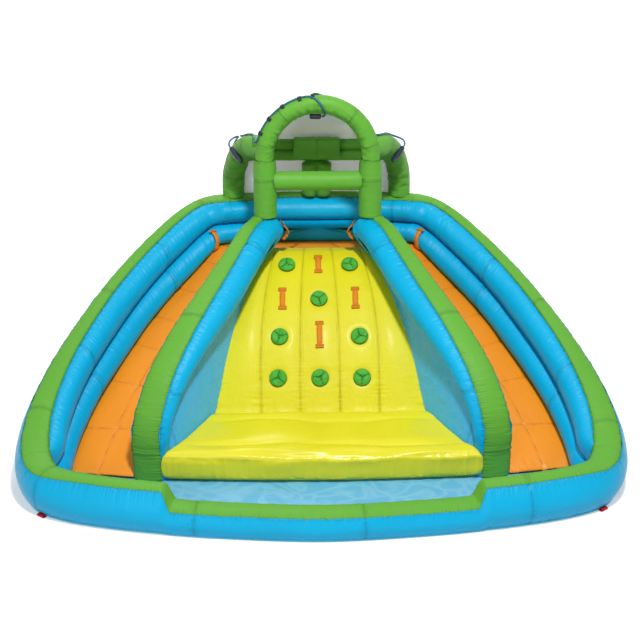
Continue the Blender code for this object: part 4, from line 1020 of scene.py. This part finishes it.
# %% [markdown]
# ## Climbing holds
# Each hold is a round pocket of green cloth, filled with air and drawn down in the middle, so it
# crumples into three deep folds that meet like a Y. A grid bent into a disc gives it: one side becomes the
# middle, the other the rim, and the pole is closed by merging.

# %% Holds
hold_radius, hold_height = 0.076, 0.036
hold_rim = 0.8


def hold(number, spot, normal):
    """v runs from the middle to the rim at hold_rim, and then back under the pocket."""
    turn = normal.to_track_quat("Z", "Y").to_matrix()
    start = 0.7 * number

    def place(u, v):
        angle = 2 * math.pi * u
        cos, sin = math.cos(angle), math.sin(angle)
        out = min(v / hold_rim, 1.0)
        away = out if v <= hold_rim else (1 - v) / 0.2
        fold = lerp(0.5, abs(math.sin(1.5 * angle + start)) ** 0.45, smooth_step(out * 5))
        dip = bell(out, 0.42)
        wave = rough(cos * 2.2 * out + number, sin * 2.2 * out, 3.0)
        rise = (1 - out ** 4) ** 0.5 * (0.50 + 0.50 * fold)
        rise = rise - 0.62 * dip * (1 - 0.45 * fold) + 1.3 * wave * out * (1 - out)
        rise = hold_height * max(rise, 0.0) if v <= hold_rim else 0.0
        return spot + turn @ Vector((hold_radius * away * cos, hold_radius * away * sin, rise + 0.0005))

    # The rim and the three creases are marked in `gather` and darkened hard: painted shade in the folds and
    # where the hold meets the wall.
    def near(u, v):
        out = min(v / hold_rim, 1.0)
        crease = abs(math.sin(3 * math.pi * u + start)) * (0.3 + out)
        return max(math.exp(-abs(v - hold_rim) * 14), fade(crease, 0.34) * smooth_step((0.95 - out) * 5))

    return faced_out(panel(72, 25, place, (0.48, 0.095), near=near, thickness=0.0))


for number, (spot, normal) in enumerate(crests, 1):
    sewn(f"climb_hold_{number}", hold(number, spot, normal), "hold")
print("holds", number)


# %% [markdown]
# ## Landing pad
# The pad is a fat cushion that lies between the noses of the dividers. Its section is a closed ring,
# a rounded slab with soft folds across its top, and it runs from side to side like a loaf. The
# dividers cut its ends straight, so they close flat, and the front face stands up and is gathered
# along its top seam. The bulges are moves in code, because they have to follow the dividers.

# %% Landing pad
pad_front_y = 0.90 - middle
pad_back_y = climb_foot_y + 0.01
pad_front_top, pad_back_top = 0.275, 0.335
pad_rolls, pad_valley = 4, 0.026
pad_gap, pad_bow, pad_end_power = 0.004, 0.055, 90
pad_long, pad_round = 2.4, 1.9
pad_top_seam, pad_low_seam = 0.43, 0.565


def rounded(value, power):
    """A sine or cosine pulled out towards a square corner."""
    return math.copysign(abs(value) ** power, value)


def ring(share):
    """Cosine and sine at a share of a full turn."""
    return math.cos(2 * math.pi * share), math.sin(2 * math.pi * share)


def pad_place(u, v):
    """v runs over the top from the back to the front, down the front, and back along the floor."""
    cos, sin = ring(v)
    across = 2 * u - 1
    end = (1 - abs(across) ** pad_end_power) ** 0.30
    bow = pad_bow * hump(u)
    y_mid, y_half = (pad_front_y - bow + pad_back_y) / 2, (pad_back_y - pad_front_y + bow) / 2
    depth = rounded(cos, 0.30) * (0.97 + 0.03 * end)
    y = y_mid + y_half * depth
    tall = lerp(pad_front_top, pad_back_top, (depth + 1) / 2) - floor_z
    up = rounded(sin, 0.42)
    height = tall * (1 + up * end) / 2 if sin > 0 else tall * (1 - min(1.0, -up * 1.04) * end) / 2
    if sin > 0:
        row = (depth * 0.5 + 0.5) * pad_rolls + 0.5 * rough(across * 1.6, depth * 0.8, 74.0)
        valley = 1 - abs(math.sin(math.pi * row)) ** 0.8
        height -= pad_valley * valley * smooth_step((1 - abs(depth)) * 8) * (1 - abs(across) ** 5) * up * end
    half = climb_reach(y, height) - pad_gap
    return Vector((half * across, y, floor_z + max(height, 0.0)))


def pad_push(u, v):
    front = bell(v - 0.5, 0.075)
    along = u * pad_long
    top_away, low_away = abs(v - pad_top_seam) * pad_round, abs(v - pad_low_seam) * pad_round
    total = gathers(along, top_away, 71.0, reach=0.08, pitch=0.060, depth=0.006 * front)
    total += gathers(along, low_away, 75.0, pitch=0.05, depth=0.008 * front)
    fold = abs(rough(along / 0.085, v * 3, 76.0))
    crease = 0.007 * (1 - 3 * fold) * (fold < 1 / 3)
    total += front * (0.012 * rough(along / 0.30, v * 5, 72.0) - crease)
    if ring(v)[1] > 0:
        total += 0.010 * rough(along / 0.36, v * 16, 73.0)
    return total


pad_work = panel(360, 200, pad_place, (pad_long, pad_round), pad_push,
                 lambda u, v: fade(abs(v - pad_low_seam) * pad_round, 0.02), thickness=0.0)
landing_pad = sewn("landing_pad", faced_out(pad_work), "shiny")
print("pad", [round(side, 2) for side in landing_pad.dimensions])


# %% [markdown]
# ## Air tubes of the tower
# The tower over the deck is made of green tubes. Cloth cut for a bend has to be gathered on the inside
# of it, so the tubes show rings of short folds there, and a waist where two of them are sewn together.
# A tube is a grid rolled round a route: `u` goes along, `v` goes round, and the two long edges
# are merged. A frame is carried along the route without twisting, so the roll stays straight.

# %% Tube maker
tube_step = 0.010
bend_span, bend_gain = 4, 0.30
waist_reach, seam_draw, seam_half = 0.035, 0.05, 0.010
fold_pitch, pull_reach = 0.030, 0.05


def carried_frames(route):
    """Two axes square to a route at each of its points, carried along without a twist."""
    frames = []
    last = len(route) - 1
    side = None
    for k in range(last + 1):
        ahead = (route[min(k + 1, last)] - route[max(k - 1, 0)]).normalized()
        if side is None:
            side = ahead.cross(Vector((0.0, -1.0, 0.2))).normalized()
        side = (side - ahead * side.dot(ahead)).normalized()
        frames.append((side, ahead.cross(side)))
    return frames


def bend_inward(route):
    """At each point, the vector towards the inside of the bend, longer where it is tighter."""
    last = len(route) - 1
    turns = [Vector((0, 0, 0)) for _ in route]
    for k in range(1, last):
        turns[k] = (route[max(k - bend_span, 0)] + route[min(k + bend_span, last)]) / 2 - route[k]
    return turns


def closed_tube(work):
    """Give an open tube its wall, with the outside outwards."""
    faced_out(work)
    if any(edge.is_boundary for edge in work.edges):
        bmesh.ops.solidify(work, geom=work.faces[:], thickness=-cloth_thickness)
        faced_out(work)
    return work


def air_tube(points, radius, around, seed, waist, seams=(), depth=0.006, slim=0.0):
    """A tube with seams at shares of its length. The waist draws in both ends, slim thins the far one."""
    route, length = even_route(points, tube_step)
    frames = carried_frames(route)
    bends = bend_inward(route)
    last = len(route) - 1

    def size(u):
        along = u * length
        drawn = waist[0] * fade(along, waist_reach) + waist[1] * fade(length - along, waist_reach)
        for seam in seams:
            drawn += seam_draw * bell(along - seam * length, seam_half)
        return radius * (1.0 - slim * smooth_step((u - 0.86) / 0.14)) * (1 - drawn)

    def seam_away(u):
        along = u * length
        return min([along, length - along] + [abs(along - seam * length) for seam in seams])

    def outward(u, v):
        (side, up), (cos, sin) = frames[round(u * last)], ring(v)
        return side * cos + up * sin

    def place(u, v):
        return route[round(u * last)] + outward(u, v) * size(u)

    def push(u, v):
        along, (cos, sin) = u * length, ring(v)
        inner = max(0.0, outward(u, v).dot(bends[round(u * last)])) / (tube_step * tube_step) * bend_gain
        folds = rough(along / fold_pitch, 1.1 * cos, 1.1 * sin + seed) * (0.35 + min(inner, 1.4))
        pull = rough(5.0 * cos, 5.0 * sin, seed + along * 2)
        return folds * depth * 0.9 + depth * 1.3 * pull * fade(seam_away(u), pull_reach)

    work = panel(last, around, place, (length, 2 * math.pi * radius), push,
                 lambda u, v: fade(seam_away(u), 0.03), thickness=0.0)
    return closed_tube(work)


print("tube step", tube_step)

# %% Tower tubes
post_x, post_y, post_radius, post_top = 0.468, 2.70 - middle, 0.100, 2.19
arch_radius, arch_spring, arch_steps = 0.078, post_top + 0.03, 14
crossbar_height, crossbar_radius = 2.005, 0.083
rear_leg_stop = 14.45
beam_radius, beam_y, beam_height, beam_half = 0.050, 3.29 - middle, 2.14, 0.70
side_arch_top = 2.285
side_arch_shares = (
    (0.00, 0.000), (0.00, 0.180), (0.03, 0.370), (0.09, 0.510), (0.16, 0.630), (0.28, 0.765),
    (0.42, 0.870), (0.56, 0.940), (0.72, 0.984), (0.86, 1.000), (1.00, 1.000),
)
arch_line = [(post_x, post_y, post_top - 0.02)]
for turn in (math.pi * k / arch_steps for k in range(arch_steps + 1)):
    arch_line.append((post_x * math.cos(turn), post_y, arch_spring + post_x * math.sin(turn)))
arch_line.append((-post_x, post_y, post_top - 0.02))


def rear_leg(side):
    spot, inner, _ = rim_at(rear_leg_stop)
    plan = spot + inner * band_width / 2
    return Vector((side * plan.x, plan.y))


def side_arch_line(side):
    leg, post = rear_leg(side), Vector((side * post_x, post_y))
    return [(*leg.lerp(post, share), lerp(rear_height, side_arch_top, rise))
            for share, rise in side_arch_shares]


for side, word in hands:
    levels = (rear_height + 0.002, (rear_height + post_top) / 2, post_top + 0.01)
    post = [(side * post_x, post_y, level) for level in levels]
    sewn("front_post_" + word, air_tube(post, post_radius, 56, 80.0 + side, (0.02, 0.10), (0.66,)), "green")
    work = air_tube(side_arch_line(side), post_radius, 56, 84.0 + side, (0.04, 0.16), (0.20, 0.48, 0.74),
                    0.007, 0.24)
    sewn("side_arch_" + word, work, "green")
arch_seams = (0.10, 0.30, 0.50, 0.70, 0.90)
sewn("front_arch", air_tube(arch_line, arch_radius, 52, 90.0, (0.05, 0.05), arch_seams), "green")
bar_reach = post_x - post_radius * 0.78
bar_line = [(x, post_y, crossbar_height) for x in (-bar_reach, 0, bar_reach)]
sewn("crossbar", air_tube(bar_line, crossbar_radius, 52, 93.0, (0.08, 0.08)), "green")
print("crossbar", round(2 * bar_reach, 2), "metres")


# %% [markdown]
# ## Rear frame
# Behind, a beam of two tubes lies across, a post of two tubes holds it up in the middle, and a square
# bolster hangs on its front. The double tubes are one panel each: the ring round them has a waist, which
# is a figure of eight.

# %% Rear beam and post
dome_depth = 0.040
waist_share = 0.16


def double_tube(points, radius, level, seed):
    """Two tubes side by side in one skin, closed by domes. level is the direction from one to the other."""
    route, length = even_route(points, tube_step)
    last = len(route) - 1
    ahead = (route[-1] - route[0]).normalized()
    over = (level - ahead * level.dot(ahead)).normalized()
    side = ahead.cross(over)

    def place(u, v):
        along, (x, y) = u * length, ring(v)
        end = min(along, length - along, dome_depth) / dome_depth
        lobe = max(math.sqrt(max(0.0, 1 - (2 * abs(x) - 1) ** 2)), waist_share)
        up = math.copysign(lobe, y) if abs(y) > 1e-6 else 0.0
        return route[round(u * last)] + (over * 2 * x + side * up) * radius * math.sqrt(end * (2 - end))

    def push(u, v):
        cos, sin = ring(v)
        return 0.004 * rough(u * length / 0.04, 2.0 * cos, 2.0 * sin + seed)

    # The waist between the two lobes is marked in `gather`, so it is darkened: painted shade in the crease
    # between the tubes.
    work = panel(last, 72, place, (length, 8 * radius), push,
                 lambda u, v: fade(abs(ring(v)[0]), 0.12), thickness=0.0)
    return closed_tube(work)


beam_line = [(x, beam_y, beam_height) for x in (-beam_half, 0, beam_half)]
sewn("rear_beam", double_tube(beam_line, beam_radius, Vector((0, 0, 1)), 97.0), "green")
low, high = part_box("rear_post")
rear_post_radius = (high.x - low.x) / 4
post_low = Vector((0, high.y - rear_post_radius, low.z))
post_high = Vector((0, low.y + rear_post_radius, high.z))
post_line = [post_low, (post_low + post_high) / 2, post_high]
sewn("rear_post", double_tube(post_line, rear_post_radius, Vector((1, 0, 0)), 99.0), "green")
print("rear post radius", round(rear_post_radius, 3))


# %% [markdown]
# ## Bolster
# The bolster is a stuffed block: a ring with soft corners, carried from end to end and closed at both.
# Stuffing pushes its faces out and a seam draws it in round the middle, so the section's powers are
# chosen for a full, rounded slab, and the pulls near the seams come from noise that dies away.

# %% Bolster
low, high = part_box("bolster")
bolster_centre = (low + high) / 2
bolster_half = (high - low) / 2


def bolster_place(u, v):
    """A rounded slab round its own long axis, closed at both ends."""
    cos, sin = ring(v)
    across = 2 * u - 1
    end = (1 - abs(across) ** 10) ** 0.22
    y = bolster_half.y * rounded(cos, 0.55) * end
    z = bolster_half.z * rounded(sin, 0.38) * (0.93 + 0.07 * end) * (1 if end else 0)
    middle_seam = 1 - 0.10 * bell(across, 0.035)
    return bolster_centre + Vector((bolster_half.x * across, y * middle_seam, z * middle_seam))


def bolster_push(u, v):
    across = abs(2 * u - 1)
    pull = rough(v * 26, u * 3, 101.0) * math.exp(-min(across, 1 - across) * 9)
    return 0.005 * pull + 0.003 * rough(u * 9, v * 12, 102.0)


work = panel(120, 88, bolster_place, (0.43, 0.6), bolster_push,
             lambda u, v: fade(min(abs(2 * u - 1), 1 - abs(2 * u - 1)), 0.06), thickness=0.0)
bolster = sewn("bolster", faced_out(work), "green")
print("bolster", [round(side, 3) for side in bolster.dimensions])


# %% [markdown]
# ## Hoses and spray heads
# The hoses already have the right route in the frame. Its meshes are loose triangles, so a copy is
# merged and its triangles are joined to squares first; then a subdivision surface rounds it. The spray
# heads and the nut keep the frame's own shape, and only get a material.

# %% Smooth hoses
def plain_surface(name, colour, roughness, bump_scale, bump_distance):
    """Moulded or woven surface on object coordinates, with a mottled tone."""
    surface, tree, shader = new_surface(name)
    place = places(tree)
    grain = clouds(tree, place, bump_scale, 4.0)
    feed(tree, shader, (("Base Color", mottled(tree, place, colour, bump_scale / 12, 2.0, 0.75)),
                        ("Roughness", ranged(tree, grain, roughness - 0.08, roughness + 0.08)),
                        ("Normal", bumped(tree, grain, bump_distance, 0.8))))
    return surface


hose_rubber = plain_surface("hose_rubber_skin", paint(24, 96, 130), 0.32, 90.0, 0.0006)
dark_plastic = plain_surface("navy_plastic", paint(16, 30, 62), 0.34, 260.0, 0.0004)
for name in ("hose_supply", "hose_arch", "hose_right"):
    work = bmesh.new()
    work.from_mesh(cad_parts[name].data)
    bmesh.ops.remove_doubles(work, verts=work.verts[:], dist=0.00001)
    bmesh.ops.join_triangles(work, faces=work.faces[:], cmp_seam=False, cmp_sharp=False, cmp_uvs=False,
                             cmp_vcols=False, cmp_materials=False, angle_face_threshold=0.9,
                             angle_shape_threshold=0.9)
    hose = piece(name + "_soft", work, hose_rubber, "hose_rubber", name)
    rounder = hose.modifiers.new("rounder", "SUBSURF")
    rounder.levels = 1
    rounder.render_levels = 1
for name in ("spray_head_left", "spray_head_right", "spray_head_centre", "coupling_nut"):
    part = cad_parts[name]
    part.data.materials.clear()
    part.data.materials.append(dark_plastic)


# %% [markdown]
# ## Webbing straps
# A grab strap is flat webbing, folded double and sewn down at both ends. The sewn ends are wide, and
# the part for the hand is rolled narrow and stands off the fabric. The box of the frame's strap says
# where it is. The cloth under a strap is fuller than the frame's solid, so rays are cast at it and the
# strap is moved out until it lies on it. The `gather` attribute darkens the stitch lines: the stitches, and
# painted shade of the folds at the sewn ends.

# %% Straps
strap_half, strap_foot_half, strap_foot = 0.022, 0.036, 0.034
strap_clear, strap_bow = 0.004, 0.016
ray_start, ray_past = 0.16, 0.02
lift_reach = 5
roll_depth, fold_depth, stitch_in = 0.012, 0.006, 0.006


def rib_point(place, v):
    """A point on the inner tubes of the right side of the rim."""
    spot, inner, top = rim_at(place)
    inward, height = rib_section(place, top, v)
    return Vector((*(spot + inner * inward), height))


def strap_route(name):
    """Middle line of a strap of the frame, and the direction across it."""
    low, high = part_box(name)
    centre, tall = (low + high) / 2, high - low
    side = 1 if centre.x > 0 else -1
    if name.startswith("climb"):
        slope = Vector((0.0, tall.y, tall.z)) / 2
        return [centre - slope, centre, centre + slope], Vector((1.0, 0.0, 0.0))
    if name.startswith("deck"):
        rise = Vector((0.0, 0.0, tall.z / 2))
        return [centre - rise, centre, centre + rise], Vector((side * 0.35, 1.0, 0.0)).normalized()
    at = min((k / fine for k in range(12 * fine, 15 * fine)),
             key=lambda place: abs(side * rib_point(place, 0.75).x - centre.x))
    points = [rib_point(at, lerp(0.56, 0.95, k / 6)) for k in range(7)]
    ahead = rim_at(at + 0.1)[0] - rim_at(at - 0.1)[0]
    across = Vector((side * ahead.x, ahead.y, 0.0)).normalized()
    return [Vector((side * spot.x, spot.y, spot.z)) for spot in points], across


def cloth_tree(name):
    """Search tree of a finished piece, for rays."""
    work = bmesh.new()
    work.from_mesh(bpy.data.objects[name].data)
    tree = BVHTree.FromBMesh(work)
    work.free()
    return tree


def clearing_lifts(route, across, out, tree):
    """How far each point of a route has to go out to clear the cloth, also at the strap's edges."""
    lifts = []
    for spot in route:
        clear = [0.0]
        for shift in (-strap_foot_half, -strap_half, 0.0, strap_half, strap_foot_half):
            start = spot + across * shift + out * ray_start
            hit = tree.ray_cast(start, -out, ray_start + ray_past)[0]
            if hit:
                clear.append((hit - spot).dot(out) + strap_clear)
        lifts.append(max(clear))
    windows = [lifts[max(k - lift_reach, 0):k + lift_reach + 1] for k in range(len(lifts))]
    return [sum(window) / len(window) for window in windows]


def webbing_strap(name, tree):
    points, across = strap_route(name)
    route, length = even_route(points, 0.004)
    last = len(route) - 1
    x = route[0].x
    free_way = Vector((-x * 0.2, -0.2, 1.0) if name.startswith("climb") else (-x, -0.3, 0.0))
    out = across.cross((route[-1] - route[0]).normalized()).normalized()
    if out.dot(free_way) < 0:
        out.negate()
    lifts = clearing_lifts(route, across, out, tree)
    route = [spot + out * (lift + strap_bow * hump(k / last) ** 2)
             for k, (spot, lift) in enumerate(zip(route, lifts))]

    def place(u, v):
        away = min(u, 1 - u) * length
        wide = smooth_step((strap_foot - away) / 0.008 + 0.5)
        side = 2 * v - 1
        roll = lerp(roll_depth, 0.0, wide) * side * side
        fold = fold_depth * bell(away - strap_foot - 0.006, 0.006)
        half = lerp(strap_half, strap_foot_half, wide)
        return route[round(u * last)] + across * half * side - out * (roll + fold - 0.002)

    # The stitch lines at the ends are marked in `gather` and darkened hard: the stitches, and painted shade
    # of the folds there.
    def near(u, v):
        away = min(u, 1 - u) * length
        stitch = min(abs(away - stitch_in), abs(away - strap_foot + 0.008))
        return fade(stitch, 0.005) if away < strap_foot + 0.02 else 0.0

    sewn(name, panel(last, 12, place, (length, 2 * strap_half), near=near, thickness=0.0028), "webbing")


straps = [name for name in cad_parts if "_strap_" in name]
for name in straps:
    kind, _, hand = name.split("_")
    carrier = {"climb": "climb_wall", "lane": "rim_ribs_" + hand, "deck": "divider_rib_" + hand}[kind]
    webbing_strap(name, cloth_tree(carrier + "_cloth"))
print("straps", len(straps))


# %% [markdown]
# ## Loops, tabs and the welt
# Small trim that is seen from near: a red loop for a peg at each front corner, black tabs that hold the
# hose on the arch, and a welt round the foot, which is a cord inside a folded strip. Each is a short
# panel along a few chosen points. The loop is one strip that goes out, turns and comes back.

# %% Anchor loops
loop_place_stop = 4.75
loop_reach, loop_half = 0.042, 0.034
loop_profile = ((-1.0, 0.006), (0.0, 0.005), (0.8, 0.006), (1.0, 0.012), (0.8, 0.019), (0.0, 0.021),
                (-1.0, 0.026))
trim_step = 0.003
for side, word in hands:
    low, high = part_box("anchor_loop_" + word)
    centre = (low + high) / 2
    _, inner, _ = rim_at(side * loop_place_stop)
    out = Vector((-inner.x, -inner.y, 0.0))
    across = Vector((inner.y, -inner.x, 0.0))
    route, length = even_route([(loop_reach * share, z) for share, z in loop_profile], trim_step)
    last = len(route) - 1

    def loop_place(u, v):
        point = route[round(u * last)]
        plan = centre + out * (point.x + 0.008) + across * loop_half * (2 * v - 1)
        return plan.x, plan.y, point.y + 0.002 * rough(u * 5, v * 3, side)

    work = panel(last, 8, loop_place, (length, 0.06), near=lambda u, v: fade(abs(abs(2 * v - 1) - 0.8), 0.06))
    sewn("anchor_loop_" + word, work, "red")
print("loop", round(length, 3), "metres of webbing")

# %% Hose tabs
tab_angles = (94.6, 106.8, 124.0, 140.5, 156.0)
tab_half = 0.016
tab_profile = ((-0.034, -0.004), (-0.020, 0.000), (-0.013, 0.009), (-0.008, 0.019), (0.0, 0.0235),
               (0.008, 0.019), (0.013, 0.009), (0.020, 0.000), (0.034, -0.004))
tab_black = plain_surface("tab_webbing", paint(8, 9, 12), 0.6, 400.0, 0.0008)
route, length = even_route(tab_profile, trim_step)
last = len(route) - 1
for number, degrees in enumerate(tab_angles, 1):
    turn = math.radians(degrees)
    out = Vector((math.cos(turn), 0.0, math.sin(turn)))
    centre = Vector((0.0, post_y, arch_spring)) + out * post_x
    away = (out * 0.94 + Vector((0.0, -0.34, 0.0))).normalized()
    along = Vector((-math.sin(turn), 0.0, math.cos(turn)))
    across = away.cross(along)

    def tab_place(u, v):
        point = route[round(u * last)]
        return centre + across * point.x + away * (arch_radius + point.y) + along * tab_half * (2 * v - 1)

    work = panel(last, 6, tab_place, (length, 2 * tab_half), thickness=0.002)
    piece(f"hose_tab_{number}", work, tab_black, "dark_plastic")
print("hose tabs", number)

# %% Welt round the foot
welt_radius, welt_height, welt_out = 0.008, 0.0105, 0.004


def welt_place(u, v):
    place, (cos, sin) = round_place(u), ring(v)
    spot = foot_edge(place) - rim_at(place)[1] * (welt_out + welt_radius * cos)
    return spot.x, spot.y, welt_height + welt_radius * sin


work = panel(640, 8, welt_place, (path_lengths[-1], 0.05), thickness=0.0)
sewn("foot_welt", faced_out(work), "piping")
print("welt radius", welt_radius)


# %% [markdown]
# ## Nets
# Two grey nets close the tower: one upright behind the rear post, one sloping from the beam up to the
# arch. A net is a sheet with holes, and holes of a few millimetres are far too many to model, so the
# material leaves them out: two sets of stripes mark the threads, and between them the light goes through.

# %% Nets
def net_cloth(name, colour):
    surface, tree, shader = new_surface(name)
    thread = woven(tree, cloth_map(tree), 0.006, "MAXIMUM")
    feed(tree, shader, (("Roughness", 0.7), ("Sheen Weight", 0.2),
                        ("Alpha", ranged(tree, thread, 0.25, 1.0, 0.45, 0.60)),
                        ("Base Color", mottled(tree, places(tree), colour, 3.0, 3.0, 0.85)),
                        ("Normal", bumped(tree, thread, 0.0006, 0.6))))
    return surface


fabric["net"] = net_cloth("grey_net", paint(242, 243, 242)), "net"
net_thickness = 0.0015
low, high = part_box("back_net")
net_half = rear_leg(1).x - post_radius * 0.45
net_clear, net_sag, roof_sag = 0.009, 0.012, 0.010
corners = [vert.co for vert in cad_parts["back_net"].data.vertices]
rows = sorted((round(corner.z, 4), round(corner.y, 4)) for corner in corners)
back_low_y, back_high_y = rows[0][1], rows[-1][1]


def back_net_place(u, v):
    across = 2 * u - 1
    sag = net_sag * hump(u) * hump(v)
    crease = 0.006 * rough((across + v) * 2.2, (across - v) * 0.6, 111.0)
    y = lerp(back_low_y, back_high_y, v)
    return net_half * across, y + net_clear + sag + crease, lerp(low.z, high.z - 0.03, v)


net_height = math.hypot(back_high_y - back_low_y, high.z - low.z)
work = panel(80, 40, back_net_place, (2 * net_half, net_height), thickness=net_thickness)
back_net = sewn("back_net", work, "net")

roof_half, roof_angle = 0.50, math.radians(25)


def roof_net_place(u, v):
    turn = lerp(roof_angle, math.pi - roof_angle, u)
    front = Vector((post_x * math.cos(turn), post_y + arch_radius, arch_spring + post_x * math.sin(turn)))
    rear = Vector((lerp(roof_half, -roof_half, u), beam_y, beam_height + 2 * beam_radius))
    spot = rear.lerp(front, v)
    sag = roof_sag * hump(u) * hump(v)
    return spot.x, spot.y, spot.z - sag + 0.004 * rough(u * 5 + v * 4, v - u, 113.0)


work = panel(80, 50, roof_net_place, (1.0, 0.9), thickness=0.0)
roof_area = sum(face.calc_area() for face in work.faces)
bmesh.ops.solidify(work, geom=work.faces[:], thickness=net_thickness)
roof_net = sewn("roof_net", work, "net")
print("nets", round(2 * net_half, 2), "by", round(net_height, 2), "and", round(roof_area, 2), "square metres")


# %% [markdown]
# ## Air sleeve
# At the rear a short open sleeve leads air into the wall. The blower's nozzle goes in, and
# a drawstring is tied round it.

# %% Air sleeve
low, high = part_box("air_sleeve")
sleeve_spot = (low + high) / 2
sleeve_radius = (high.x - low.x) / 2
sleeve_line = [(sleeve_spot.x, lerp(low.y, high.y, share), sleeve_spot.z) for share in (0.0, 0.35, 0.7, 1.0)]
sewn("air_sleeve", air_tube(sleeve_line, sleeve_radius, 56, 121.0, (0.02, 0.0), (0.62,), 0.010), "blue")
print("sleeve radius", round(sleeve_radius, 3))
